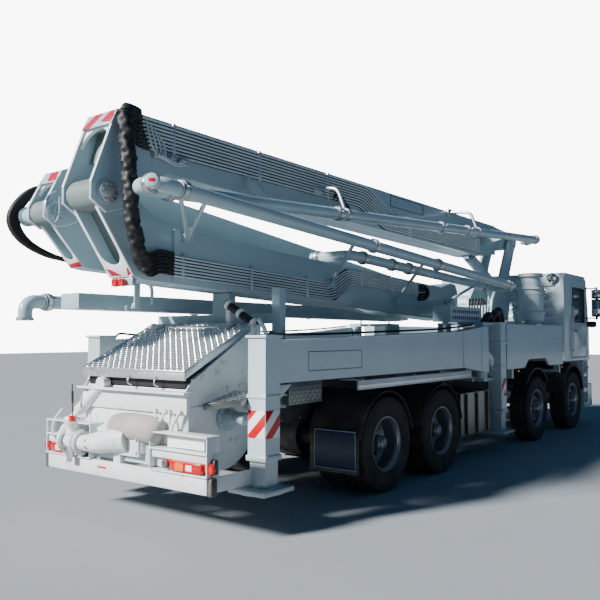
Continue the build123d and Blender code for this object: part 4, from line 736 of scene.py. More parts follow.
def oil_lines_b(radius):
    """Seven lines along boom B's low edge that rise to its middle, a dark band behind them that is painted
    shadow between the lines, their clamps, and the black hoses at their front end."""
    lines = []
    for k in range(7):
        turn_x = -1.94 - 0.02 * k
        lines.append(tube(bend([
            (-4.62, LINES_B_Y, 2.27 + 0.031 * k), (turn_x, LINES_B_Y, 2.162 + 0.031 * k),
            (turn_x + 0.42, LINES_B_Y, 2.385 + 0.026 * k), (0.30, LINES_B_Y, 2.31 + 0.026 * k),
        ], 0.10), radius, 8))
    # A dark band in frame paint behind the lines: painted shadow in the gaps between them
    shadow_band = plate([
        (-4.60, 2.258), (-4.60, 2.470), (-2.09, 2.362), (-1.67, 2.556), (0.32, 2.480), (0.32, 2.296),
        (-1.50, 2.371), (-1.90, 2.146),
    ], -0.206, -0.196, 0.002)
    clamps = [
        slab((x, -0.205, 2.37 - 0.0405 * (x + 4.62)), (0.035, 0.03, 0.26), 0.003) for x in (-4.5, -3.5, -2.5)
    ]
    clamps += [slab((x, -0.205, 2.40 - 0.041 * x), (0.035, 0.03, 0.21), 0.003) for x in (-1.3, -0.5, 0.22)]
    hoses = [
        tube(smooth([
            (0.28, -0.215, 2.45 - s), (0.40, -0.26, 2.45 - s), (0.50 - s, -0.275, 2.36),
            (0.42, -0.26, 2.26 + s), (0.28, -0.215, 2.24 + s),
        ]), 0.016, 10)
        for s in (0.0, 0.035, 0.07)
    ]
    piece("line_gap_painted_shadow_b", [shadow_band], FRAME_PAINT, "boom_b")
    piece("oil_lines_b", lines, LINE_HIGHLIGHT_PAINT, "boom_b")
    piece("oil_line_clamps_b", clamps, ZINC, "boom_b")
    piece("line_end_hoses_b", hoses, HOSE, "boom_b")


class PUMP_OT_oil_lines(bpy.types.Operator):
    """Bundles of thin oil lines along booms A and B, their fittings, and two bare plates' borders"""

    bl_idname = "pump.oil_lines"
    bl_label = "Oil lines"

    def execute(self, context):
        sizes = context.scene.pump_sizes
        oil_lines_a(sizes.line_radius, sizes.line_pitch)
        oil_line_fittings_a()
        plate_border("plate_boom_a", "boom_a", (-0.03, -0.213, 3.61), (0.98, 0.15))
        plate_border("plate_outrigger", "rear_outrigger_right", (-3.40, -1.2435, 1.463), (0.93, 0.18))
        oil_lines_b(sizes.line_radius)
        return {"FINISHED"}


def coupling(centre, axis, radius):
    """A pipe clamp: its shell over the pipe's raised ends, two lips, its lever and its hinge."""
    centre, axis = np.asarray(centre), unit(axis)
    inner = radius + 0.001
    shell = ring(centre, axis, inner, 0.05, 0.020, 32)
    lips = [ring(centre + axis * s, axis, inner, 0.012, 0.012, 32) for s in (-0.042, 0.042)]
    side = unit(np.cross(axis, (0, 0.2, 1)))
    at = centre + side * (radius + 0.028)
    lever = bar(at - axis * 0.02, at + axis * 0.075 + side * 0.012, 0.022, 0.010)
    hinge = slab(centre - side * (radius + 0.022), (0.05, 0.03, 0.03), 0.004, axes(axis, side))
    return [shell, lever, hinge] + lips


def point_on(first, last, x):
    """The point of a straight run between two points where its x is the given one."""
    first, last = np.asarray(first, float), np.asarray(last, float)
    return first + (last - first) * (x - first[0]) / (last[0] - first[0])


def couplings(first, last, places, radius):
    """Couplings on the straight run between two points, one at each x of places."""
    along = np.subtract(last, first)
    return [part for x in places for part in coupling(point_on(first, last, x), along, radius)]


class PUMP_OT_pipe_fittings(bpy.types.Operator):
    """Couplings and hangers of the concrete pipe, and its rear elbow's cap"""

    bl_idname = "pump.pipe_fittings"
    bl_label = "Pipe fittings"

    def execute(self, context):
        radius = context.scene.pump_sizes.pipe_radius
        rear, front = (FOLD_AB[0], PIPE_FOLD, FOLD_AB[1]), (FOOT[0], PIPE_FOOT, FOOT[1])
        parts = couplings(rear, front, (-5.02, -2.47, 0.10, 0.96, 3.86), radius)
        parts += coupling((FOOT[0], PIPE_FOOT + 0.22, FOOT[1]), ACROSS, radius)
        # Hanger tubes from boom A's side down to a clamp on the pipe
        for x in (-2.30, 1.35):
            foot = point_on(rear, front, x)
            top = (x, -0.245, foot[2] + 0.36)
            hanger = bend([top, (x, foot[1] + 0.12, foot[2] + 0.33), foot + (0, 0, 0.02)], 0.08)
            parts.append(tube(hanger, 0.026, 14))
            parts.append(slab((x, -0.225, foot[2] + 0.36), (0.14, 0.03, 0.12), 0.005))
            parts.append(ring(foot, np.subtract(front, rear), radius + 0.001, 0.06, 0.012, 32))
        piece("pipe_couplings_a", parts, ZINC, "boom_a")
        # Boom B's pipe: out along the lower lane, back along the return lane, then over the boom
        turn = (2.5, 2.53)
        rear, front = (FOLD_AB[0], PIPE_LOWER, FOLD_AB[1]), (turn[0], PIPE_LOWER, turn[1])
        parts = couplings(rear, front, (-5.12, -2.04, -0.36, 2.22), radius)
        parts += coupling((FOLD_AB[0], PIPE_LOWER + 0.06, FOLD_AB[1]), ACROSS, radius)
        rear, front = (-1.9, PIPE_RETURN, 2.70), (turn[0], PIPE_RETURN, turn[1])
        parts += couplings(rear, front, (-1.62, -0.88, -0.42, 2.22), radius)
        parts += coupling((-1.9, 0.06, 2.70), ACROSS, radius)
        piece("pipe_couplings_b", parts, ZINC, "boom_b")
        # The rear swivel's cast elbow ends in a bare white cap with a red mark
        knee = (FOLD_AB[0] - 0.075, PIPE_LOWER - 0.03, FOLD_AB[1] + 0.005)
        crown = [(0, 0.014), (0.035, 0.014), (0.052, 0.008), (0.062, -0.006), (0.066, -0.03), (0, -0.03)]
        piece("elbow_cap_b", [lathe(crown, knee, (-0.75, -0.66, 0.05), 32)], PAINT, "boom_b")
        mark = slab((0, 0, 0), (0.05, 0.026, 0.004), 0.001)
        mark = laid(mark, np.add(knee, (-0.0115, -0.0101, 0.0008)), (0.66, -0.75, 0), (0.03, 0.04, 1))
        piece("elbow_mark_b", [mark], REFLECT, "boom_b")
        parts = couplings((0, LEFT_PIPE, 2.03), (1, LEFT_PIPE, 2.03), (-5.2, -3.2, -0.9, 0.6), radius)
        parts.append(ring((-5.43, LEFT_PIPE, 1.862), UPWARD, radius, 0.03, 0.014, 32))
        piece("pipe_couplings_tip", parts, ZINC, "boom_e")
        parts = couplings((0, 0.62, 1.175), (1, 0.62, 1.175), (-3.4, -1.4, 0.9, 2.9), radius)
        parts += coupling((-4.75, 0.88, 1.03), UPWARD, radius)
        piece("delivery_couplings", parts, ZINC, "truck")
        return {"FINISHED"}


def sleeve_ab():
    """The thick sleeve over booms A and B's fold. Its radius thins at both ends, and wrinkles push each
    corner in or out by four sines of the sleeve's height and of the turn round it."""
    sides, girth = 28, 0.066
    path = smooth([
        (-5.10, -0.262, 3.655), (-5.20, -0.285, 3.685), (-5.30, -0.32, 3.64), (-5.305, -0.35, 3.45),
        (-5.295, -0.37, 3.2), (-5.285, -0.38, 2.95), (-5.26, -0.38, 2.72), (-5.19, -0.36, 2.53),
        (-5.10, -0.32, 2.38), (-5.0, -0.27, 2.31),
    ], 14)
    run = np.linspace(0, 1, len(path))
    corners, faces = tube(path, girth * np.clip(np.minimum(run, 1 - run) * 9 + 0.5, 0, 1), sides)
    middle = np.vstack([path[:1], path, path[-1:]]).repeat(sides, 0)
    turn = np.tile(np.linspace(0, ROUND, sides, endpoint=False), len(path) + 2)
    wrinkle = np.ones(len(middle))
    for share, per_metre, per_turn in ((0.07, 37, 2), (0.06, 71, -3), (0.05, 113, 1), (0.05, 19, 5)):
        wrinkle += share * np.sin(middle[:, 2] * per_metre + per_turn * turn)
    return middle + (corners - middle) * wrinkle[:, None], faces


class PUMP_OT_fold_hoses(bpy.types.Operator):
    """Black hose bundles that run down over the rear folds"""

    bl_idname = "pump.fold_hoses"
    bl_label = "Fold hoses"

    def execute(self, context):
        radius = context.scene.pump_sizes.hose_radius
        # Hoses fan out of both ends of the sleeve to the oil lines
        hoses = [sleeve_ab()]
        for k in range(9):
            hoses.append(tube(smooth([
                (-5.04, LINES_A_Y, 3.685 - 0.034 * k), (-5.10, -0.238, 3.69 - 0.033 * k),
                (-5.17, -0.27, 3.67 - 0.024 * k), (-5.26, -0.31, 3.61 - 0.02 * k),
                (-5.29, -0.33, 3.48 - 0.01 * k),
            ], 6), radius * 0.8, 10))
        for k in range(7):
            hoses.append(tube(smooth([
                (-5.12, -0.33, 2.47), (-5.10, -0.31, 2.38 + 0.014 * k), (-5.03, -0.28, 2.27 + 0.028 * k),
                (-4.92, -0.245, 2.25 + 0.033 * k), (-4.80, -0.222, 2.29 + 0.033 * k),
                (-4.62, LINES_B_Y, 2.285 + 0.033 * k),
            ], 6), radius * 0.9, 10))
        made = piece("fold_hoses_ab", hoses, HOSE, None)
        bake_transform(made)
        hoses = []
        for k in range(7):
            x, y = -5.10 + 0.03 * (k % 4), 0.815 + 0.03 * (k // 4)
            hoses.append(tube(smooth([
                (x + 0.30, y, 3.17), (x + 0.02, y + 0.02, 3.20 - 0.01 * k), (x - 0.26, y + 0.12, 3.13),
                (x - 0.42, y + 0.20, 2.96), (x - 0.46, y + 0.22, 2.78), (x - 0.36, y + 0.16, 2.60),
                (x - 0.12, y + 0.05, 2.47), (x + 0.2, y, 2.42 + 0.01 * k),
            ]), radius, 10))
        made = piece("fold_hoses_cd", hoses, HOSE, None)
        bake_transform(made)
        return {"FINISHED"}


def pin_caps():
    """A stepped cap with eight bolts at the ends of each fold's pin."""
    section = [
        (0, 0.004), (0.045, 0.004), (0.05, 0.0), (0.088, 0.0), (0.094, -0.006), (0.094, -0.016), (0, -0.016),
    ]
    for body, (x, z), out, sides, middle in (
        ("boom_a", FOLD_AB, 0.24, (1, -1), 0.0), ("boom_c", FOLD_CD, 0.14, (1, -1), FAR_LANE),
        ("boom_b", FOLD_BC, 0.17, (1,), FAR_LANE), ("turret", FOOT, 0.285, (1, -1), 0.0),
    ):
        parts = []
        for side in sides:
            centre, axis = (x, middle + side * out + side * 0.012, z), (0, side, 0)
            parts.append(lathe(section, centre, axis, 36))
            parts.append(hex_bolts(circle(centre, axis, 0.07, 8), axis, 0.011, 0.010))
        piece("pin_caps_" + body, parts, ZINC, body)


def boom_mouths():
    """The white cap on each rear face, painted highlight where the sun lights that face. Its round mouth is a
    notch of half a circle, its radius the half width, cut from the cap's inner end. Where the cap starts at a
    foot, it is thin and has side strips."""
    turn = np.linspace(0, math.pi, 17)
    for body, (x, z), (far_x, far_z), y, half, foot in (
        ("boom_a", (-5.365, 3.56), (-5.56, 3.01), 0.0, 0.182, 0.0),
        ("boom_c", (-5.42, 3.13), (-5.53, 2.90), FAR_LANE, 0.112, 0.0),
        ("boom_b", (-5.06, 2.24), (-5.545, 2.93), 0.0, 0.138, 0.125),
        ("boom_d", (-5.07, 2.36), (-5.52, 2.85), FAR_LANE, 0.068, 0.10),
    ):
        mouth = [(foot + half * 1.02 - half * math.sin(a), half * math.cos(a)) for a in turn]
        if foot:
            rim, thick, out = half + 0.034, 0.003, -0.002
            outline = [(0.0, rim), (foot + half, rim)] + mouth + [(foot + half, -rim), (0.0, -rim)]
        else:
            thick, out = 0.03, 0.034
            outline = [(0.0, half)] + mouth + [(0.0, -half)]
        inward = (far_x - x, 0, far_z - z)
        cap = laid(plate(outline, -0.002, thick, 0.001, "xy"), (x + out, y, z), inward, ACROSS)
        # The cap's near white is painted highlight on the sunlit rear face
        piece("mouth_" + body, [cap], WHITE_AND_HIGHLIGHT, body)


def fold_webs():
    """The webs in the rear faces of booms A and C, and the bosses and slot floors of B and D, in a dark grey
    that is painted shade in these recesses.
    """
    web = bar((-5.20, 0, 3.575), (-5.29, 0, 3.26), 0.355, 0.012)
    piece("web_boom_a", [web], WEB_SHADE_PAINT, "boom_a")
    web = bar((-5.215, FAR_LANE, 3.14), (-5.235, FAR_LANE, 3.05), 0.215, 0.010)
    piece("web_boom_c", [web], WEB_SHADE_PAINT, "boom_c")
    for body, (x, z), y, half, size, start, end, width in (
        ("boom_b", FOLD_AB, 0.0, 0.172, 0.1415, (-5.44, 3.004), (-4.976, 2.331), 0.272),
        ("boom_d", FOLD_CD, FAR_LANE, 0.102, 0.1215, (-5.424, 2.938), (-5.044, 2.52), 0.134),
    ):
        boss = lathe([(0, -half), (size, -half), (size, half), (0, half)], (x, y, z), ACROSS, 56)
        floor = bar((start[0], y, start[1]), (end[0], y, end[1]), width, 0.010)
        piece("fold_boss_" + body, [boss, floor], WEB_SHADE_PAINT, body)


def highlight_strips():
    """White strips along the rear edges of each boom's two side plates: painted highlight where the sun
    lights those edges.
    """
    a_edge = [(-5.30, 3.70), (-5.56, 3.01), (-5.56, 2.87), (-5.40, 2.77), (-5.24, 2.82), (-4.95, 3.10)]
    c_edge = [(-5.35, 3.25), (-5.53, 2.90), (-5.53, 2.79), (-5.40, 2.71), (-5.30, 2.73), (-5.0, 2.86)]
    for body, sides, width, line in (
        ("boom_a", (-0.196, 0.196), 0.030, a_edge),
        ("boom_b", (-0.156, 0.156), 0.034, [(-5.50, 2.865), (-5.06, 2.24)]),
        ("boom_c", (0.529, 0.781), 0.030, c_edge),
        ("boom_d", (0.570, 0.740), 0.034, [(-5.48, 2.805), (-5.07, 2.36)]),
    ):
        strips = [
            bar((a[0], y, a[1]), (b[0], y, b[1]), width, 0.008, 0.002)
            for y in sides for a, b in zip(line, line[1:])
        ]
        # The strips are painted highlight: the sunlit rear edges of the side plates
        piece("highlight_strips_" + body, strips, WHITE_AND_HIGHLIGHT, body)


def red_sheets():
    """Slanted red sheets on the rear faces, drawn as (up the face, across) outlines."""
    for body, low, high, outlines in (
        ("boom_a", (-5.365, 0.0, 3.56), (-5.30, 0.0, 3.70), (
            [(0.0, 0.205), (0.0, 0.10), (0.148, -0.02), (0.148, 0.075)],
            [(0.045, -0.045), (0.148, -0.135), (0.148, -0.20), (0.02, -0.19)],
        )),
        ("boom_b", (-5.06, 0.0, 2.24), (-5.545, 0.0, 2.93), (
            [(0.012, -0.03), (0.02, 0.12), (0.095, 0.155), (0.085, 0.09)],
            [(0.012, -0.15), (0.012, -0.10), (0.085, -0.13), (0.095, -0.155)],
        )),
        ("boom_c", (-5.42, FAR_LANE, 3.13), (-5.35, FAR_LANE, 3.25), (
            [(0.02, -0.12), (0.12, -0.10), (0.12, 0.02), (0.02, 0.0)],
        )),
        ("boom_d", (-5.07, FAR_LANE, 2.36), (-5.52, FAR_LANE, 2.85), (
            [(0.01, -0.10), (0.01, 0.09), (0.05, 0.10), (0.075, -0.10)],
        )),
    ):
        up = np.subtract(high, low)
        parts = [laid(plate(outline, -0.006, 0.006, 0.001, "xy"), low, up, ACROSS) for outline in outlines]
        piece("red_sheets_" + body, parts, REFLECT, body)


def rear_steel_b():
    """The two round lamps under boom B's rear end, their bracket, and the hook's drop plate and bent rods."""
    lens = [(0, 0.0), (0.038, 0.0), (0.040, 0.02), (0.034, 0.032), (0, 0.038)]
    lamps = [lathe(lens, (-5.10, y, 2.185), (-1, 0, -0.1), 28) for y in (-0.075, 0.02)]
    piece("boom_lamps", lamps, RED, "boom_b")
    steel = slabs(((-5.06, -0.03, 2.19), (0.05, 0.30, 0.07), 0.005))
    steel.append(bar((-5.04, -0.14, 2.30), (-5.07, -0.14, 2.20), 0.03, 0.04))
    steel += slabs(
        ((-4.62, 0.26, 2.23), (0.12, 0.14, 0.03), 0.005), ((-4.62, 0.31, 2.10), (0.07, 0.02, 0.26), 0.005)
    )
    hook = [(-4.64, 0.33, 2.02), (-4.66, 0.33, 1.96), (-4.72, 0.33, 1.95), (-4.74, 0.33, 1.99)]
    stay = [(-4.52, 0.24, 2.21), (-4.48, 0.30, 2.24), (-4.42, 0.32, 2.18), (-4.42, 0.32, 2.02)]
    steel += [tube(bend(hook, 0.03), 0.016, 12), tube(bend(stay, 0.05), 0.018, 12)]
    piece("boom_b_rear_steel", steel, BOOM_PAINT, "boom_b")


def fold_hub():
    """The swivel hub outside booms C and D's fold, and two thin loops of oil line beside it."""
    section = [
        (0, 0), (0.10, 0), (0.105, 0.01), (0.105, 0.05), (0.078, 0.06), (0.078, 0.15), (0.095, 0.155),
        (0.095, 0.19), (0, 0.20),
    ]
    hub = lathe(section, (FOLD_CD[0], 0.822, FOLD_CD[1]), ACROSS, 32)
    piece("fold_hub_cd", [hub], PIPE_PAINT, "boom_c")
    loops = [
        tube(smooth([
            (-5.45, 0.478 - 0.02 * k, 3.02), (-5.55 - 0.02 * k, 0.42, 2.94), (-5.58, 0.40, 2.80),
            (-5.50, 0.42, 2.72), (-5.42, 0.46, 2.80), (-5.40, 0.474, 2.98),
        ]), 0.009, 8)
        for k in range(2)
    ]
    piece("fold_loops", loops, BOOM_PAINT, "boom_c")


class PUMP_OT_boom_ends(bpy.types.Operator):
    """Pins, webs in painted shade, white caps and strips as painted highlight, red sheets, lamps and the hub
    at the booms' ends
    """

    bl_idname = "pump.boom_ends"
    bl_label = "Boom ends"

    def execute(self, context):
        pin_caps()
        boom_mouths()
        fold_webs()
        highlight_strips()
        red_sheets()
        rear_steel_b()
        fold_hub()
        return {"FINISHED"}


# The lid from its low edge up to its hinges: its middle line, the way along it, its upward side, the
# rows that turn a box to it, and half its width
LID_LOW, LID_HIGH = np.array((-4.94, 0.0, 1.392)), np.array((-4.06, 0.0, 1.822))
LID_LENGTH = np.linalg.norm(LID_HIGH - LID_LOW)
LID_WAY = (LID_HIGH - LID_LOW) / LID_LENGTH
LID_UP = np.array((-LID_WAY[2], 0, LID_WAY[0]))
LID_TURN = np.stack([LID_WAY, ACROSS, LID_UP])
LID_HALF = 0.715


def lid_studs():
    """The chequer plate's lozenges: a flat lens of eight sides, its half axes turned into two crossed
    directions on a square lattice, standing on its outer ring and closed at its crown."""
    pitch, margin, high, half_long, half_short = 0.04, 0.03, 0.004, 0.018, 0.0062
    rows = np.arange(margin, LID_LENGTH - 0.02, pitch)
    columns = np.arange(margin - LID_HALF, LID_HALF - 0.02, pitch)
    u, v = np.meshgrid(rows, columns, indexing="ij")
    odd = (np.add.outer(np.arange(len(rows)), np.arange(len(columns))) % 2).astype(bool)
    places = LID_LOW + u[..., None] * LID_WAY + v[..., None] * np.array(ACROSS) + LID_UP * 0.0035
    angle = np.linspace(0, ROUND, 8, endpoint=False)[None, :, None]
    level = np.array([0.0, 1.0, 1.0])[:, None, None]
    size = np.array([1.0, 0.62, 0.0])[:, None, None]
    studs = []
    for mask, lean in ((odd, 1.0), (~odd, -1.0)):
        long_way = unit(LID_WAY + lean * np.array(ACROSS))
        short_way = np.cross(LID_UP, long_way)
        oval = half_long * np.cos(angle) * long_way + half_short * np.sin(angle) * short_way
        studs.append(spread(grid(size * oval + level * LID_UP * high, close_v=True), places[mask]))
    # The studs' brighter alloy is painted highlight on their raised tops
    piece("lid_chequer_studs", studs, STUD_HIGHLIGHT_ALLOY, "hopper_cover", 30.0)


def lid_fittings():
    """Two spring clips below the lid's edge, its tube handle and its two bolted hinges."""
    parts = []
    for y in (-0.36, 0.0):
        clip = [(-4.945, y, 1.34), (-4.975, y, 1.30), (-4.975, y, 1.27), (-4.93, y, 1.25)]
        parts.append(tube(bend(clip, 0.02), 0.008, 8))
        parts.append(slab(LID_LOW + LID_WAY * 0.02 + (-0.006, y, -0.06), (0.014, 0.05, 0.05), 0.003))
    foot = LID_LOW + LID_WAY * 0.80 * LID_LENGTH + LID_UP * 0.005
    low, high = foot + (0, -0.45, 0), foot + (0, 0.25, 0)
    parts.append(tube(bend([low, low + LID_UP * 0.05, high + LID_UP * 0.05, high], 0.03), 0.009, 10))
    for y in (-0.5, 0.5):
        hinge = LID_HIGH - LID_WAY * 0.10 + (0, y, 0)
        parts.append(slab(hinge + LID_UP * 0.01, (0.16, 0.045, 0.014), 0.004, LID_TURN))
        bolts = [hinge + LID_UP * 0.016 + LID_WAY * s for s in (-0.05, 0.0)]
        parts.append(hex_bolts(bolts, LID_UP, 0.009, 0.007))
    piece("lid_fittings", parts, ZINC, "hopper_cover")


def lid_cylinder():
    """The black cylinder beside the lid, with three white bands, its foot and its head's bracket."""
    start, end = np.array((-3.98, -0.30, 2.03)), np.array((-3.98, -0.70, 1.80))
    piece("lid_cylinder", [tube([start, end], 0.042, 20)], BLACK, "truck")
    way = unit(end - start)
    bands = [ring(start + way * at, way, 0.043, 0.045, 0.008, 24) for at in (0.04, 0.22, 0.42)]
    bands += slabs(
        ((-3.98, -0.71, 1.76), (0.05, 0.05, 0.10), 0.006), ((-3.94, -0.30, 1.92), (0.05, 0.06, 0.24), 0.006)
    )
    piece("lid_cylinder_bands", bands, WHITE_AND_HIGHLIGHT, "truck")


class PUMP_OT_hopper_lid(bpy.types.Operator):
    """The lid's chequer plate, folded lip, rubber skirt, clips, handle, hinges and cylinder"""

    bl_idname = "pump.hopper_lid"
    bl_label = "Hopper lid"

    def execute(self, context):
        middle = (LID_LOW + LID_HIGH) / 2
        parts = [slab(middle - LID_UP * 0.003, (LID_LENGTH + 0.03, 2 * LID_HALF, 0.012), 0.004, LID_TURN)]
        parts.append(slab(LID_LOW - LID_WAY * 0.004 - (0, 0, 0.035), (0.008, 2 * LID_HALF, 0.085), 0.003))
        skirt = [slab((-4.885, 0, 1.30), (0.012, 1.34, 0.12), 0.004)]
        flank = [(-4.88, 1.25), (-4.88, 1.37), (-4.12, 1.745), (-4.12, 1.60)]
        for _, side in SIDES:
            rim = middle + (0, side * (LID_HALF + 0.001), -0.028)
            parts.append(slab(rim, (LID_LENGTH, 0.008, 0.07), 0.003, LID_TURN))
            skirt.append(plate(flank, side * 0.693 - 0.005, side * 0.693 + 0.005, 0.002))
        piece("lid_chequer_plate", parts, ALLOY, "hopper_cover", 30.0)
        lid_studs()
        piece("lid_skirt", skirt, HOSE, "hopper_cover")
        lid_fittings()
        lid_cylinder()
        return {"FINISHED"}


def hopper_rim():
    """The hopper's rear panel with its flange, its two cheeks, and the bars along their slopes."""
    rim = slabs(
        ((-4.925, -0.02, 1.115), (0.045, 1.45, 0.19), 0.008),
        ((-4.955, -0.02, 1.205), (0.10, 1.50, 0.022), 0.006),
    )
    cheek = [(-4.93, 1.02), (-4.93, 1.22), (-4.84, 1.33), (-4.12, 1.75), (-4.08, 1.75), (-4.08, 1.02)]
    for _, side in SIDES:
        rim.append(plate(cheek, side * 0.708 - 0.007, side * 0.708 + 0.007, 0.004))
        rim.append(bar((-4.86, side * 0.722, 1.315), (-4.10, side * 0.722, 1.748), 0.045, 0.012))
    piece("hopper_rim", rim, HOPPER_PAINT, "truck")


def hopper_bowl():
    """The bowl: a trough turned about an axis just below the agitator's shaft, its ends crowned and its
    top cut level."""
    top = 1.08
    half = [(0.25, -0.742), (0.40, -0.736), (0.445, -0.722), (0.465, -0.69)]
    section = [(0, -0.742)] + half + [(r, -y) for r, y in half[::-1]] + [(0, 0.742)]
    corners, faces = lathe(section, (SHAFT[0], 0, 0.94), ACROSS, 56)
    corners[:, 2] = np.minimum(corners[:, 2], top)
    piece("hopper_bowl", [(corners, faces)], HOPPER_PAINT, "truck")


def agitator_drive():
    """A bolted flange with its bearing at both ends of the shaft, and the motor on the right."""
    drive = []
    flange = [
        (0, 0), (0.115, 0), (0.12, 0.008), (0.12, 0.03), (0.075, 0.036), (0.07, 0.12), (0.05, 0.13),
        (0, 0.13),
    ]
    for _, side in SIDES:
        axis = (0, side, 0)
        drive.append(lathe(flange, (SHAFT[0], side * 0.74, SHAFT[1]), axis, 32))
        drive.append(hex_bolts(circle((SHAFT[0], side * 0.77, SHAFT[1]), axis, 0.098, 8), axis, 0.012, 0.01))
    motor = [(0, 0), (0.06, 0), (0.062, 0.01), (0.062, 0.13), (0.05, 0.14), (0, 0.14)]
    drive.append(lathe(motor, (SHAFT[0], -0.86, SHAFT[1]), (0, -1, 0), 28))
    piece("agitator_drive", drive, PIPE_PAINT, "truck")


class PUMP_OT_hopper_fittings(bpy.types.Operator):
    """The hopper's rear panel, round bowl, agitator drive, grille and cement crust"""

    bl_idname = "pump.hopper_fittings"
    bl_label = "Hopper fittings"

    def execute(self, context):
        hopper_rim()
        hopper_bowl()
        agitator_drive()
        # Grille under the lid: bars along X over three cross bars
        lanes = np.linspace(-0.63, 0.63, 15)
        bars = [bar((-4.87, y, 1.275), (-4.12, y, 1.275), 0.010, 0.035, 0.002) for y in lanes]
        bars += [bar((x, -0.685, 1.262), (x, 0.685, 1.262), 0.012, 0.03, 0.002) for x in (-4.78, -4.5, -4.2)]
        piece("hopper_grille", bars, HOPPER_PAINT, "truck")
        # Crust over the valve's housing: a bent bar with blunt ends, its radius the root of one less the
        # fourth power of the place along it, which runs from -0.94 to 0.94
        crust = smooth([
            (-4.99, 0.16, 0.865), (-5.0, 0.05, 0.875), (-5.0, -0.18, 0.88), (-4.99, -0.38, 0.865),
            (-4.97, -0.47, 0.83),
        ])
        girth = 0.125 * np.sqrt(np.clip(1 - np.linspace(-0.94, 0.94, len(crust)) ** 4, 0, 1))
        piece("cement_dome", [tube(crust, girth, 28)], CEMENT, "truck", 60.0)
        return {"FINISHED"}


class PUMP_OT_rear_end(bpy.types.Operator):
    """Rear lamps with their boxes, the under-run bar, buffers, struts and the bare plate"""

    bl_idname = "pump.rear_end"
    bl_label = "Rear end"

    def execute(self, context):
        boxes, reds, ambers, clears, blacks = [], [], [], [], []
        lens = [(0, 0), (0.05, 0), (0.052, 0.012), (0.04, 0.028), (0, 0.034)]
        cup = [(0, 0.0), (0.036, 0.0), (0.038, 0.03), (0.030, 0.036), (0, 0.03)]
        for _, side in SIDES:
            y = side * 0.765
            boxes += [slab((-5.00, y, z), (0.16, 0.70, 0.014), 0.005) for z in (0.872, 0.734, 0.552)]
            boxes += slabs(
                ((-5.005, y, 0.696), (0.096, 0.70, 0.08), 0.006),
                ((-4.935, y, 0.71), (0.012, 0.68, 0.30), 0.004),
            )
            boxes += [slab((-5.00, y + end, 0.712), (0.15, 0.012, 0.33), 0.004) for end in (-0.345, 0.345)]
            boxes.append(slab((-4.72, side * 1.09, 0.475), (0.56, 0.012, 0.13), 0.004))
            reds.append(slab((-5.045, side * 0.86, 0.610), (0.07, 0.385, 0.098), 0.028))
            reds.append(lathe(lens, (-5.03, side * 1.125, 0.615), (-1, 0, 0), 28))
            ambers.append(slab((-5.0815, side * 0.80, 0.610), (0.006, 0.10, 0.07), 0.003))
            clears.append(slab((-5.0815, side * 0.915, 0.610), (0.006, 0.07, 0.05), 0.003))
            blacks.append(lathe(cup, (-5.03, side * 0.60, 0.61), (-1, 0, 0), 24))
            blacks.append(slab((-5.02, side * 1.128, 0.47), (0.075, 0.05, 0.15), 0.016))
            blacks.append(slab((-5.0, side * 1.128, 0.63), (0.05, 0.055, 0.12), 0.012))
            cable = [(-5.0, y, 0.63), (-4.93, y, 0.60), (-4.9, y * 0.8, 0.58), (-4.86, y * 0.6, 0.60)]
            blacks.append(tube(smooth(cable, 6), 0.011, 8))
        boxes.append(slab((-5.035, 0, 0.475), (0.05, 2.2, 0.145), 0.012))
        # Bent struts from the hopper's panel down to the right lamp box
        for y in (-0.64, -0.46):
            end = (-4.98, y + 0.05, 0.88)
            boxes.append(tube(bend([(-4.96, y - 0.05, 1.06), (-5.0, y, 0.95), end], 0.04), 0.014, 10))
            boxes.append(tube(bend([(-4.96, y + 0.10, 1.06), (-5.0, y + 0.05, 0.97), end], 0.04), 0.011, 10))
        piece("rear_lamp_boxes", boxes, HOPPER_PAINT, "truck")
        piece("rear_lamps_red", reds, RED, "truck")
        piece("rear_lamps_amber", ambers, AMBER, "truck")
        piece("rear_lamps_clear", clears, CLEAR, "truck")
        piece("rear_buffers", blacks, BLACK, "truck")
        bare = slab((-5.005, -0.80, 0.803), (0.008, 0.44, 0.105), 0.002)
        piece("bare_plate", [bare], WHITE_AND_HIGHLIGHT, "truck")
        return {"FINISHED"}


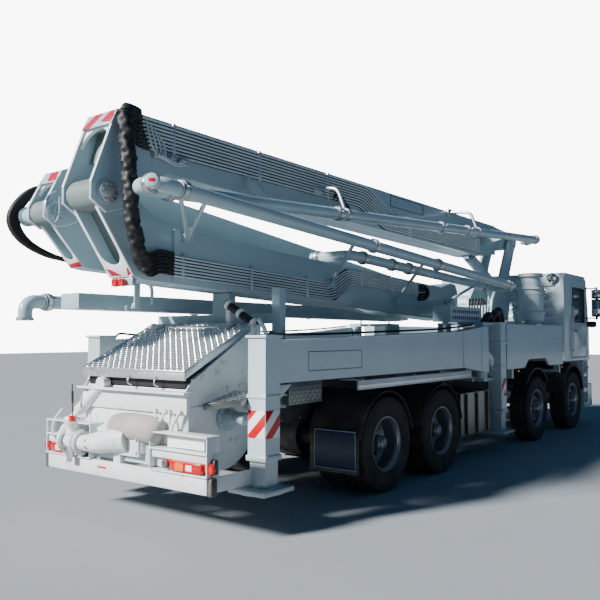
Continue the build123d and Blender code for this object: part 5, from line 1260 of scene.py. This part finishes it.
def outlet_elbow():
    """The reducer from the valve's housing, the swing elbow round to the delivery line on the left with
    its flanges and stub, the housing itself, the swing cylinder that slants down to it, and a guard rod."""
    reducer = smooth([
        (-5.02, -0.10, 0.775), (-5.05, 0.05, 0.76), (-5.08, 0.28, 0.715), (-5.09, 0.42, 0.70),
        (-5.09, 0.52, 0.695),
    ], 6)
    taper = np.interp(np.linspace(0, 1, len(reducer)), [0, 0.25, 0.75, 1], [0.125, 0.12, 0.078, 0.074])
    elbow = [(-5.09, 0.50, 0.695), (-5.07, 0.84, 0.70), (-4.98, 0.885, 0.80), (-4.77, 0.885, 0.86)]
    parts = [tube(reducer, taper, 28), tube(bend(elbow, 0.16, 10), 0.072, 24)]
    for y in (0.52, 0.575, 0.76):
        parts.append(ring((-5.088, y, 0.697), ACROSS, 0.074, 0.034, 0.034, 36))
        parts.append(slab((-5.088, y, 0.59), (0.05, 0.045, 0.03), 0.005))
    stub = [(0, 0), (0.062, 0), (0.05, 0.05), (0.072, 0.10), (0.078, 0.12), (0.04, 0.12), (0, 0.12)]
    parts.append(lathe(stub, STUB + (0.76,), UPWARD, 28))
    parts += slabs(
        ((-4.97, -0.14, 0.775), (0.16, 0.30, 0.24), 0.02),
        ((-5.055, -0.10, 0.775), (0.03, 0.34, 0.29), 0.006),
        ((-5.0, 0.05, 0.55), (0.10, 0.10, 0.26), 0.008),
    )
    bolts = [(-5.072, y, z) for y in (-0.24, 0.04) for z in (0.67, 0.78, 0.88)]
    parts.append(hex_bolts(bolts, (-1, 0, 0), 0.014, 0.012))
    for start, end, radius, sides in (
        ((-4.93, 0.42, 1.235), (-4.96, 0.74, 0.975), 0.058, 22),
        ((-4.955, 0.70, 1.005), (-4.98, 0.86, 0.875), 0.034, 18),
        ((-5.02, 0.86, 0.87), (-4.93, 0.86, 0.87), 0.045, 18),
        ((-4.98, 0.40, 1.25), (-4.90, 0.40, 1.25), 0.062, 18),
    ):
        parts.append(tube([start, end], radius, sides))
    parts.append(bar((-5.05, 0.30, 0.80), (-5.0, 0.10, 0.92), 0.03, 0.10))
    guard = [(-5.0, 0.96, 0.98), (-5.06, 1.0, 0.88), (-5.08, 1.0, 0.76), (-5.04, 0.98, 0.66)]
    parts.append(tube(smooth(guard), 0.010, 8))
    piece("outlet_elbow", parts, HOPPER_PAINT, "truck")


class PUMP_OT_outlet(bpy.types.Operator):
    """The delivery outlet at the rear left: flanges, swing elbow, red caps, feeler rod and hanging plate"""

    bl_idname = "pump.outlet"
    bl_label = "Delivery outlet"

    def execute(self, context):
        outlet_elbow()
        stub_cap = [(0, 0), (0.036, 0), (0.036, 0.045), (0.028, 0.055), (0, 0.055)]
        end_cap = [(0, 0), (0.045, 0), (0.045, 0.012), (0, 0.02)]
        caps = [
            lathe(stub_cap, STUB + (0.88,), UPWARD, 24),
            lathe(end_cap, (-5.155, 0.34, 0.705), (-1, -0.1, 0), 24),
            slab((-5.02, 0.20, 0.865), (0.012, 0.06, 0.05), 0.004),
        ]
        caps += [slab((-5.093, y, 0.592), (0.05, 0.06, 0.02), 0.005) for y in (0.545, 0.80)]
        caps.append(slab((-5.064, 0.25, 0.49), (0.006, 0.12, 0.016), 0.002))
        piece("outlet_caps", caps, RED, "truck")
        piece("feeler_rod", [
            tube([STUB + (0.92,), (-5.082, 0.682, 1.06), (-5.086, 0.686, 1.24)], 0.006, 8),
            tube([(-5.081, 0.681, 1.06), (-5.084, 0.684, 1.17)], 0.012, 10),
        ], BLACK, "truck")
        piece("outlet_plate", slabs(
            ((-5.125, 0.655, 0.585), (0.012, 0.085, 0.16), 0.003),
            ((-5.11, 0.655, 0.655), (0.05, 0.03, 0.02), 0.003),
        ), ZINC, "truck")
        return {"FINISHED"}


def rear_leg(side_name, side):
    """A rear leg's collars, ribs, edge bar, top bolts, chevron sheets and hose."""
    body, leg_y, face_y = "rear_outrigger_" + side_name, side * LEG_Y, side * 1.247
    parts = slabs(
        ((REAR_LEG_X, leg_y, 1.695), (0.24, 0.24, 0.024), 0.005),
        ((REAR_LEG_X, leg_y, 0.635), (0.228, 0.228, 0.05), 0.006),
        ((REAR_LEG_X, leg_y, 1.17), (0.222, 0.222, 0.03), 0.005),
    )
    gusset = [(-4.30, 1.26), (-4.30, 1.12), (-4.10, 1.26)]
    parts += [plate(gusset, leg_y + s - 0.006, leg_y + s + 0.006, 0.002) for s in (-0.07, 0.07)]
    for x, low, high in ((0.18, 1.22, 1.80), (-0.42, 1.29, 1.75)):
        parts.append(slab((x, face_y, (low + high) / 2), (0.014, 0.012, high - low), 0.003))
    parts.append(bar((-4.28, side * 1.246, 1.655), (-0.5, side * 1.246, 1.752), 0.012, 0.016, 0.003))
    parts.append(hex_bolts(circle((0.54, side * 1.08, 1.8955), UPWARD, 0.06, 6), UPWARD, 0.010, 0.010))
    piece("outrigger_ribs_rear_" + side_name, parts, PAINT, body)
    sheet = slab((-4.502, leg_y, 0.93), (0.004, 0.19, 0.24), 0.001)
    piece("chevrons_rear_" + side_name, [sheet], CHEVRON, body)
    sheet = slab((REAR_LEG_X, side * 1.2515, 0.93), (0.19, 0.004, 0.24), 0.001)
    piece("chevrons_side_" + side_name, [sheet], CHEVRON_SIDE, body)
    hose_y = side * 1.06
    hose = smooth([
        (-4.29, side * 1.10, 1.60), (-4.24, side * 1.07, 1.72), (-4.0, hose_y, 1.715), (-3.4, hose_y, 1.72),
        (-2.4, hose_y, 1.745), (-0.8, hose_y, 1.79), (0.3, hose_y, 1.86),
    ], 6)
    piece("outrigger_hose_" + side_name, [tube(hose, 0.012, 8)], HOSE, body)


def front_leg(side_name, side, leg_x):
    """A front leg's collars and its chevron sheet."""
    body = "front_outrigger_" + side_name
    parts = [
        slab((leg_x, side * LEG_Y, z), (wide, wide, tall), edge)
        for z, wide, tall, edge in (
            (1.893, 0.232, 0.02, 0.005), (0.60, 0.228, 0.05, 0.006),
            (1.26, 0.224, 0.03, 0.005), (1.60, 0.224, 0.03, 0.005),
        )
    ]
    piece("outrigger_ribs_front_" + side_name, parts, PAINT, body)
    sheet = slab((leg_x, side * 1.2515, 0.95), (0.15, 0.004, 0.26), 0.001)
    piece("chevrons_front_" + side_name, [sheet], CHEVRON_SIDE, body)


def foot_dish(jack, x, y, z, ball_y):
    """A jack's square foot pad with the ball joint in it and eight ribs round that."""
    ball = [(0, 0.04), (0.10, 0.045), (0.095, 0.075), (0.085, 0.085), (0, 0.09)]
    rib_z = z + 0.052
    parts = [slab((x, y, z + 0.026), (0.425, 0.425, 0.05), 0.016), lathe(ball, (x, ball_y, z), UPWARD, 28)]
    for a in np.linspace(0, ROUND, 8, endpoint=False) + 0.39:
        end = (x + 0.19 * math.cos(a), y + 0.19 * math.sin(a), rib_z)
        parts.append(bar((x, y, rib_z), end, 0.012, 0.022, 0.002))
    piece("foot_dish_" + jack, parts, PAINT, jack)


class PUMP_OT_outrigger_fittings(bpy.types.Operator):
    """Chevron sheets, ribs, collars, hoses and foot pads of the outriggers"""

    bl_idname = "pump.outrigger_fittings"
    bl_label = "Outrigger fittings"

    def execute(self, context):
        for (side_name, side), front_leg_x in zip(SIDES, (1.19, 0.96)):
            rear_leg(side_name, side)
            front_leg(side_name, side, front_leg_x)
            y = side * 1.12
            foot_dish("rear_jack_" + side_name, REAR_LEG_X, y, 0.33, y + side * 0.03)
            foot_dish("front_jack_" + side_name, front_leg_x, y, 0.27, y + side * 0.03)
        return {"FINISHED"}


class PUMP_OT_cab_shell(bpy.types.Operator):
    """The cab's pressed shell and doors with rolled edges, and its ribbed rear wall"""

    bl_idname = "pump.cab_shell"
    bl_label = "Cab shell"

    def execute(self, context):
        rounded_node("cab_shell", 0.028, PAINT, "truck", 3)
        rounded_node("front_end", 0.012, PAINT, "truck")
        for side_name, _ in SIDES:
            rounded_node("door_" + side_name, 0.006, PAINT, "door_" + side_name)
        # Rear wall: x is a plane less ribs that are a clipped sine of the height, dying out at the ends
        half, low, high, pitch, deep, fade_run = 1.06, 1.42, 2.62, 0.15, 0.016, 0.05
        y = np.linspace(-half, half, 60)[:, None]
        z = np.linspace(low, high, 150)[None, :]
        wave = np.clip(np.sin((z - low) * ROUND / pitch) * 1.6, -0.2, 1.0)
        fade = np.clip((half - np.abs(y)) / 0.07, 0, 1)
        fade = fade * np.clip((z - low) / fade_run, 0, 1) * np.clip((high - z) / fade_run, 0, 1)
        x = 3.9985 - deep * (0.2 + wave) * fade
        wall = grid(np.stack(np.broadcast_arrays(x, y, z), -1))
        piece("cab_rear_ribs", [wall], PAINT, "truck", 60.0, turn_out=False)
        return {"FINISHED"}


def door_fittings(side_name, side):
    """A door's window seal, carried round the pane's bent corners, and its grip."""
    body, face_y = "door_" + side_name, side * 1.2215
    pane = [(x, face_y, z) for x, z in ((4.52, 1.965), (5.245, 1.965), (5.245, 2.61), (4.52, 2.61))]
    seal = tube(bend(pane + pane[:2], 0.05, 5)[3:], 0.014, 8, caps=False)
    piece("window_seal_" + side_name, [seal], BLACK, body)
    grip = bar((4.50, side * 1.256, 1.797), (4.64, side * 1.256, 1.797), 0.02, 0.03, 0.006)
    piece("door_grip_" + side_name, [grip], BLACK, body)


def cab_front_trim():
    """Grille bars, the panel above them, the sun visor and the three wipers."""
    trim = [slab((5.616, 0, z), (0.022, 1.22, 0.036), 0.008) for z in (0.887, 0.967, 1.047, 1.127)]
    trim += slabs(((5.628, 0, 1.235), (0.02, 1.9, 0.10), 0.008), ((5.30, 0, 2.925), (0.30, 1.6, 0.05), 0.02))
    ahead = (1, 0, 0)
    for y in (-0.55, 0.0, 0.55):
        base = np.array((5.615, y, 1.80))
        trim.append(bar(base, base + (-0.045, 0.34, 0.30), 0.016, 0.010, 0.003, ahead))
        trim.append(bar(base + (-0.04, 0.20, 0.10), base + (-0.115, 0.42, 0.62), 0.012, 0.010, 0.003, ahead))
    return trim


class PUMP_OT_cab_fittings(bpy.types.Operator):
    """Window seals, arches, mirrors, grille, wipers, handles, steps and lamps of the cab"""

    bl_idname = "pump.cab_fittings"
    bl_label = "Cab fittings"

    def execute(self, context):
        blacks, lamps, ambers, mirrors, metal = [], [], [], [], []
        # Both arches are strips carried round a steered wheel: a flared one, and a flat one inside the covers
        flared = [
            (0.625, 1.05), (0.625, 1.235), (0.632, 1.252), (0.648, 1.255), (0.662, 1.248), (0.662, 1.05),
        ]
        flat = [(0.640, 0.95), (0.640, 1.235), (0.652, 1.235), (0.652, 0.95)]
        for side_name, side in SIDES:
            door_fittings(side_name, side)
            mirror_y = side * 1.40
            blacks += [arch(AXLES[0], flared, side, 14, 166, 40), arch(AXLES[1], flat, side, 40, 140, 24)]
            mirrors += slabs(
                ((5.452, mirror_y, 2.25), (0.006, 0.145, 0.29), 0.003),
                ((5.452, mirror_y, 2.525), (0.006, 0.145, 0.12), 0.003),
            )
            blacks += slabs(
                ((5.50, mirror_y, 2.25), (0.10, 0.195, 0.355), 0.035),
                ((5.50, mirror_y, 2.525), (0.10, 0.195, 0.185), 0.035),
                ((5.47, side * 1.31, 1.93), (0.15, 0.16, 0.12), 0.035),
            )
            lamps.append(slab((5.652, side * 0.965, 0.59), (0.022, 0.355, 0.165), 0.01))
            ambers.append(slab((5.40, side * 1.236, 1.08), (0.09, 0.016, 0.04), 0.006))
            ambers.append(slab((5.64, side * 1.19, 0.59), (0.045, 0.06, 0.15), 0.01))
            rail_y = side * 1.27
            metal.append(tube(bend([
                (4.415, side * 1.24, 1.42), (4.40, rail_y, 1.45), (4.40, rail_y, 2.25),
                (4.415, side * 1.23, 2.28),
            ], 0.03), 0.013, 10))
            metal += [slab((5.25, side * 1.16, z), (0.22, 0.14, 0.018), 0.004) for z in (0.395, 0.695, 0.985)]
        blacks += cab_front_trim()
        # Work lamp behind the roof on its bar
        lamp, aim = (3.93, -1.03, 2.77), (1, 0.1, 0.1)
        shell = [(0, 0.07), (0.05, 0.066), (0.085, 0.03), (0.092, 0.0), (0.084, -0.008), (0.078, 0.0)]
        blacks.append(lathe(shell, lamp, aim, 32))
        lens = [(0, -0.012), (0.05, -0.009), (0.079, 0.0), (0.079, 0.006), (0, 0.006)]
        mirrors.append(lathe(lens, lamp, aim, 32))
        arm = [(4.02, -0.55, 2.60), (3.93, -0.55, 2.66), (3.93, -1.03, 2.67), (3.93, -1.03, 2.69)]
        metal.append(tube(bend(arm, 0.03), 0.012, 10))
        piece("cab_black_trim", blacks, BLACK, "truck")
        piece("head_lamps", lamps, CLEAR, "truck")
        piece("marker_lamps_cab", ambers, AMBER, "truck")
        piece("mirror_faces", mirrors, MIRROR, "truck")
        piece("cab_steps", metal, ZINC, "truck")
        return {"FINISHED"}


class PUMP_OT_turret_fittings(bpy.types.Operator):
    """Booms and turret with rolled edges, and the turret's bolt ring, slewing gear, motors and hoses"""

    bl_idname = "pump.turret_fittings"
    bl_label = "Turret fittings"

    def execute(self, context):
        rounded_node("turret", 0.008, BOOM_PAINT, "turret")
        for name in ("boom_a", "boom_b", "boom_c", "boom_d", "boom_e"):
            rounded_node(name, 0.006, BOOM_PAINT, name)
        bolts = hex_bolts(circle((TURRET_X, 0, 1.962), UPWARD, 0.47, 36), UPWARD, 0.014, 0.016)
        band = ring((TURRET_X, 0, 1.93), UPWARD, 0.501, 0.03, 0.012, 72)
        piece("turret_bolts", [bolts, band], ZINC, "turret")
        gear = (TURRET_X, 0, 1.872)
        teeth = spread(slab((0, 0, 0), (0.018, 0.018, 0.036), 0.003), circle(gear, UPWARD, 0.512, 96))
        rim = ring(gear, UPWARD, 0.4985, 0.04, 0.012, 96)
        piece("slewing_ring", [teeth, rim], IRON, "truck")
        motor = [
            (0, 0), (0.09, 0), (0.095, 0.01), (0.095, 0.14), (0.075, 0.16), (0.075, 0.30), (0.055, 0.32),
            (0, 0.32),
        ]
        motors = []
        for y in (-0.61, 0.61):
            motors.append(lathe(motor, (TURRET_X, y, 1.56), UPWARD, 32))
            motors.append(slab((TURRET_X, y, 1.88), (0.16, 0.20, 0.03), 0.008))
            motors.append(slab((TURRET_X, y * 0.86, 1.72), (0.18, 0.12, 0.20), 0.01))
        piece("slew_motors", motors, BOOM_PAINT, "truck")
        hoses = []
        for y in (-0.12 + 0.06 * k for k in range(5)):
            route = [(3.02, y, 2.28), (2.86, y, 2.36), (2.84, y * 0.8, 2.10), (2.90, y * 0.8, 1.98)]
            hoses.append(tube(smooth(route), 0.015, 10))
        piece("turret_hoses", hoses, HOSE, "turret")
        return {"FINISHED"}


def air_cleaner():
    """The air cleaner's painted skin over its stepped stack, with bands, and bolts round its widest step."""
    stages = [
        (0.091, 1.38), (0.091, 1.90), (0.151, 1.901), (0.151, 1.96), (0.216, 1.961), (0.216, 2.06),
        (0.236, 2.061), (0.236, 2.11), (0.201, 2.111), (0.201, 2.50), (0.226, 2.501), (0.226, 2.54),
        (0.166, 2.541), (0.166, 2.72), (0.206, 2.721), (0.206, 2.781), (0, 2.782),
    ]
    skin = [lathe(stages, CLEANER + (0,), UPWARD, 48)]
    for z, radius in ((2.20, 0.201), (2.42, 0.201), (2.62, 0.166)):
        skin.append(ring(CLEANER + (z,), UPWARD, radius, 0.02, 0.006, 48))
    skin.append(hex_bolts(circle(CLEANER + (2.11,), UPWARD, 0.222, 12), UPWARD, 0.010, 0.010))
    piece("air_cleaner_skin", skin, PAINT, "truck")


def chequer_steps():
    """The sloping chequer step over the agitator's drive, with two folded edges, and the chequered tool
    box beside it. Their studs stand on a square lattice and lean left and right by turns."""
    pitch, slope = 0.036, unit((0.43, 0, 0.10))
    corner = np.array((-4.743, -0.742, 1.104))
    outline = [(0.0, 0.0), (0.43, 0.0), (0.37, -0.30), (0.155, -0.30)]
    sheets = [laid(plate(outline, -0.008, 0.0, 0.002, "xy"), corner, slope, ACROSS)]
    for run in ((2, 3), (3, 0)):
        start, end = (corner + slope * outline[k][0] + (0, outline[k][1], -0.028) for k in run)
        sheets.append(bar(start, end, 0.006, 0.055, 0.002))
    sheets.append(slab((-3.86, -1.03, 1.17), (0.52, 0.36, 0.21), 0.01))
    stud, studs = slab((0, 0, 0), (0.034, 0.010, 0.006), 0.002), []
    for i, u in enumerate(np.arange(0.03, 0.42, pitch)):
        for j, v in enumerate(np.arange(-0.275, -0.01, pitch)):
            if 0.025 - 0.517 * v < u < 0.41 + 0.2 * v:
                lean = (-1) ** (i + j) * np.array(ACROSS)
                way = unit(slope + lean)
                square = np.array(ACROSS) - (-1) ** (i + j) * slope
                studs.append(laid(stud, corner + slope * u + (0, v, 0.001), way, square))
    for i, x in enumerate(np.arange(-4.09, -3.62, pitch)):
        for j, z in enumerate(np.arange(1.085, 1.26, pitch)):
            lean = (-1) ** (i + j)
            sheets.append(laid(stud, (x, -1.211, z), (1, 0, lean), (lean, 0, -1)))
    piece("step_sheets", sheets, TANK_ALLOY, "truck")
    # The studs' brighter alloy is painted highlight on their raised tops
    piece("step_studs", studs, STUD_HIGHLIGHT_ALLOY, "truck")


class PUMP_OT_deck_fittings(bpy.types.Operator):
    """Side markers, chequer steps, the cooler's slots, ducts, air cleaner and handles on the deck"""

    bl_idname = "pump.deck_fittings"
    bl_label = "Deck fittings"

    def execute(self, context):
        ambers, alloys, paints, blacks, zincs = [], [], [], [], []
        for _, side in SIDES:
            for x, z in ((-0.12, 1.10), (1.60, 1.16), (3.74, 1.15)):
                ambers.append(slab((x, side * 1.235, z), (0.075, 0.022, 0.038), 0.008))
            # Alloy rail over the rear wheels with its three beads, and the grip on the front cover
            alloys.append(slab((-1.59, side * 1.2415, 1.19), (2.82, 0.006, 0.094), 0.002))
            for z in (1.15, 1.19, 1.23):
                alloys.append(slab((-1.59, side * 1.247, z), (2.82, 0.008, 0.012), 0.003))
            blacks.append(slab((-1.5, side * 1.10, 1.268), (3.6, 0.22, 0.012), 0.004))
            paints.append(bar((2.9, side * 1.24, 1.62), (3.5, side * 1.24, 1.62), 0.02, 0.03, 0.004))
            foot_y, grip_y = side * 1.247, side * 1.27
            grip = [(3.72, foot_y, 1.45), (3.72, grip_y, 1.45), (3.72, grip_y, 1.62), (3.72, foot_y, 1.62)]
            zincs.append(tube(bend(grip, 0.015), 0.007, 8))
        air_cleaner()
        # Slots of the cooler's box, and the round black ducts in front of it
        for row in range(2):
            for k in range(14):
                slot = (-0.22 + 0.065 * k, -1.0115, 1.955 + 0.085 * row)
                blacks.append(slab(slot, (0.034, 0.005, 0.045), 0.002))
        for k, (x, y) in enumerate(((1.02, -0.98), (1.34, -0.96), (1.62, -0.90))):
            high = 1.86 + 0.045 * k
            blacks.append(tube(smooth([
                (x - 0.16, y, 1.64), (x - 0.15, y, high), (x, y - 0.02, high + 0.15),
                (x + 0.15, y, high), (x + 0.16, y, 1.64),
            ], 9), 0.058, 22))
        zincs += [tube([(x, 1.0, 1.40), (x, 1.0, 1.95)], 0.015, 10) for x in (0.6, 1.5)]
        # Tool box's flange, its bracket, the tube handle that rises from it, and the small switch plate
        alloys.append(slab((-3.92, -0.98, 1.165), (0.62, 0.42, 0.012), 0.004))
        chequer_steps()
        paints.append(slab((-3.92, -0.80, 1.07), (0.50, 0.06, 0.16), 0.01))
        handle = [(-3.86, -0.76, 1.17), (-3.86, -0.80, 1.40), (-3.98, -0.80, 1.78), (-4.05, -0.78, 1.86)]
        paints.append(tube(bend(handle, 0.08), 0.022, 14))
        zincs.append(slab((-3.70, -0.805, 1.70), (0.05, 0.006, 0.10), 0.002))
        piece("side_markers", ambers, AMBER, "truck")
        piece("alloy_rails", alloys, ALLOY, "truck")
        piece("deck_boxes", paints, PAINT, "truck")
        piece("deck_ducts", blacks, BLACK, "truck")
        piece("deck_handles", zincs, ZINC, "truck")
        return {"FINISHED"}


def spring_leaves(x, z, side):
    """A steered axle's six spring leaves, each a flat strip whose height is a parabola of its place
    along, the lower ones shorter, and the two bolts that clamp them."""
    middle_y = side * 0.387
    y = np.array([-0.04, 0.04, 0.04, -0.04])[None, :]
    thick = np.array([0.0, 0.0, -0.014, -0.014])[None, :]
    u = np.linspace(-1, 1, 25)[:, None]
    parts = []
    for k in range(6):
        reach = 0.70 - 0.10 * k
        height = z + 0.075 - 0.017 * k + 0.13 * (u * reach / 0.7) ** 2 + thick
        leaf = np.stack(np.broadcast_arrays(x + u * reach, middle_y + y, height), -1)
        parts.append(grid(leaf, close_v=True))
    for bolt_x in (x - 0.09, x + 0.09):
        low, high = (bolt_x, middle_y, z - 0.16), (bolt_x, middle_y, z + 0.14)
        parts.append(bar(low, high, 0.11, 0.022, 0.004, (1, 0, 0)))
    return parts


def tank_straps(side):
    """Three straps round the tank, each a rolled edge and a flat band on the outer face, and its cap."""
    parts = []
    for x in (-0.14, 0.21, 0.56):
        low, high, inner, outer = 0.343, 0.927, side * 0.49, side * 1.147
        path = [(x, inner, low), (x, outer, low), (x, outer, high), (x, inner, high)]
        parts.append(tube(bend(path, 0.05, 5), 0.010, 8))
        parts.append(bar((x, side * 1.144, 0.36), (x, side * 1.144, 0.91), 0.05, 0.006, 0.002, (1, 0, 0)))
    cap = [(0, 0), (0.05, 0), (0.055, 0.01), (0.055, 0.03), (0.04, 0.036), (0, 0.036)]
    parts.append(lathe(cap, (0.40, side * 0.95, 0.918), UPWARD, 28))
    return parts


def flap_border(side):
    """The four thin borders on a mud flap's rear face."""
    flap_x, low_y, high_y = -2.984, side * 0.67, side * 1.19
    parts = [slab((flap_x, (low_y + high_y) / 2, z), (0.003, 0.525, 0.007), 0.001) for z in (0.30, 0.70)]
    return parts + [slab((flap_x, y, 0.50), (0.003, 0.007, 0.40), 0.001) for y in (low_y, high_y)]


class PUMP_OT_chassis_fittings(bpy.types.Operator):
    """Spring leaves, brake chambers, air tanks, frame bolts, tank straps and mud flap sheets"""

    bl_idname = "pump.chassis_fittings"
    bl_label = "Chassis fittings"

    def execute(self, context):
        irons, bolts, airs, straps, stripes = [], [], [], [], []
        chamber = [(0, 0), (0.075, 0), (0.08, 0.02), (0.08, 0.13), (0.06, 0.15), (0, 0.15)]
        tank_end = [(0, -0.15), (0.06, -0.145), (0.115, -0.12), (0.12, -0.10)]
        tank = tank_end + [(r, -x) for r, x in tank_end[::-1]]
        for _, side in SIDES:
            for x, z in AXLES[:2]:
                irons += spring_leaves(x, z, side)
            for x, z in AXLES[2:]:
                irons.append(lathe(chamber, (x + 0.16, side * 0.50, z + 0.16), (-0.6, 0, 0.8), 24))
            rail_x, rail_z = np.meshgrid(np.arange(-3.9, 3.8, 0.32), (0.80, 0.995), indexing="ij")
            places = np.stack(np.broadcast_arrays(rail_x, side * 0.43, rail_z), -1)
            bolts.append(hex_bolts(places, (0, side, 0), 0.014, 0.014))
            for x in (1.03, 1.35):
                airs.append(lathe(tank, (x, side * 0.72, 0.78), (1, 0, 0), 32))
                airs.append(slab((x, side * 0.58, 0.85), (0.06, 0.3, 0.03), 0.004))
            straps += tank_straps(side)
            stripes += flap_border(side)
        piece("springs", irons, IRON, "truck")
        piece("frame_bolts", bolts, ZINC, "truck")
        piece("air_tanks", airs, FRAME_PAINT, "truck")
        piece("tank_straps", straps, BLACK, "truck")
        piece("flap_borders", stripes, PAINT, "truck")
        sheets = [slab((-2.981, side * 0.93, 0.50), (0.004, 0.53, 0.42), 0.001) for _, side in SIDES]
        piece("flap_sheets", sheets, FLAP_SHEET, "truck")
        return {"FINISHED"}


# Stage
SKY_COLOUR, SKY_STRENGTH = (0.20, 0.52, 1.0, 1.0), 0.17
BACKDROP_COLOUR, BACKDROP_STRENGTH = (1.0, 1.0, 1.0, 1.0), 9.0
FLOOR_COLOUR, FLOOR_REACH = (0.28, 0.305, 0.325), 60
SUN_FROM, SUN_SPREAD = (-0.80, 0.36, 0.52), math.radians(8)

# The camera stands behind the right rear corner at eye height and looks up a little. Its focal length is a
# share of its sensor's width
CAMERA_PLACE = (-9.23, -5.22, 1.7)
CAMERA_HEADING = (0.796, 0.605)
CAMERA_PITCH = math.radians(2.9)
SENSOR_WIDTH = 36.0
FOCAL_SHARE = 710.0 / 600.0
FARTHEST = 300.0


def soft_sky():
    """A world whose dim blue sky lights the truck while the camera sees a white backdrop behind it."""
    world = bpy.data.worlds.new("soft_sky")
    world.use_nodes = True
    tree = world.node_tree
    sky = tree.nodes["Background"]
    sky.inputs["Color"].default_value = SKY_COLOUR
    sky.inputs["Strength"].default_value = SKY_STRENGTH
    backdrop = tree.nodes.new("ShaderNodeBackground")
    backdrop.inputs["Color"].default_value = BACKDROP_COLOUR
    backdrop.inputs["Strength"].default_value = BACKDROP_STRENGTH
    choice = tree.nodes.new("ShaderNodeMixShader")
    rays = tree.nodes.new("ShaderNodeLightPath")
    tree.links.new(rays.outputs["Is Camera Ray"], choice.inputs[0])
    tree.links.new(sky.outputs[0], choice.inputs[1])
    tree.links.new(backdrop.outputs[0], choice.inputs[2])
    tree.links.new(choice.outputs[0], tree.nodes["World Output"].inputs["Surface"])
    return world


class PUMP_OT_stage(bpy.types.Operator):
    """Pale floor, soft studio light and the camera"""

    bl_idname = "pump.stage"
    bl_label = "Stage"

    def execute(self, context):
        scene = context.scene
        floor_finish = finish("pale_floor", FLOOR_COLOUR, 0.85, shade=0.0, grain=2, bump=0.0)
        across = np.linspace(-FLOOR_REACH, FLOOR_REACH, 3)
        x, y = np.meshgrid(across, across, indexing="ij")
        floor = grid(np.stack([x, y, np.zeros_like(x)], -1))
        made = piece("stage_floor", [floor], floor_finish, None)
        scene.world = soft_sky()
        key = bpy.data.lights.new("key", "SUN")
        key.energy = scene.pump_sizes.sun_strength
        key.angle = SUN_SPREAD
        key_object = bpy.data.objects.new("key", key)
        key_object.rotation_euler = Vector(SUN_FROM).to_track_quat("Z", "Y").to_euler()
        scene.collection.objects.link(key_object)
        camera = bpy.data.cameras.new("camera")
        camera.sensor_width = SENSOR_WIDTH
        camera.lens = SENSOR_WIDTH * FOCAL_SHARE
        camera.clip_end = FARTHEST
        camera_object = bpy.data.objects.new("camera", camera)
        camera_object.location = CAMERA_PLACE
        level = math.cos(CAMERA_PITCH)
        ahead = Vector((CAMERA_HEADING[0] * level, CAMERA_HEADING[1] * level, math.sin(CAMERA_PITCH)))
        camera_object.rotation_euler = ahead.to_track_quat("-Z", "Y").to_euler()
        scene.collection.objects.link(camera_object)
        scene.camera = camera_object
        return {"FINISHED"}


OPERATORS = (
    PUMP_OT_finishes, PUMP_OT_tyres, PUMP_OT_wheel_fittings, PUMP_OT_oil_lines, PUMP_OT_pipe_fittings,
    PUMP_OT_fold_hoses, PUMP_OT_boom_ends, PUMP_OT_hopper_lid, PUMP_OT_hopper_fittings, PUMP_OT_rear_end,
    PUMP_OT_outlet, PUMP_OT_outrigger_fittings, PUMP_OT_cab_shell, PUMP_OT_cab_fittings,
    PUMP_OT_turret_fittings, PUMP_OT_deck_fittings, PUMP_OT_chassis_fittings, PUMP_OT_stage,
)


class PUMP_PT_panel(bpy.types.Panel):
    """Sizes, colours and buttons for the pump truck's pieces"""

    bl_idname = "PUMP_PT_panel"
    bl_label = "Pump Truck"
    bl_space_type = "VIEW_3D"
    bl_region_type = "UI"
    bl_category = "Pump Truck"

    def draw(self, context):
        for group in (context.scene.pump_sizes, context.scene.pump_colours):
            for name in group.bl_rna.properties.keys():
                if name not in ("rna_type", "name"):
                    self.layout.prop(group, name)
        for operator in OPERATORS:
            self.layout.operator(operator.bl_idname)


CLASSES = (PumpSizes, PumpColours) + OPERATORS + (PUMP_PT_panel,)


def register():
    for kind in CLASSES:
        bpy.utils.register_class(kind)
    bpy.types.Scene.pump_sizes = bpy.props.PointerProperty(type=PumpSizes)
    bpy.types.Scene.pump_colours = bpy.props.PointerProperty(type=PumpColours)


def unregister():
    del bpy.types.Scene.pump_colours
    del bpy.types.Scene.pump_sizes
    for kind in reversed(CLASSES):
        bpy.utils.unregister_class(kind)


def main():
    register()
    for operator in OPERATORS:
        getattr(bpy.ops.pump, operator.bl_idname.split(".")[1])()


if __name__ == "__main__":
    main()
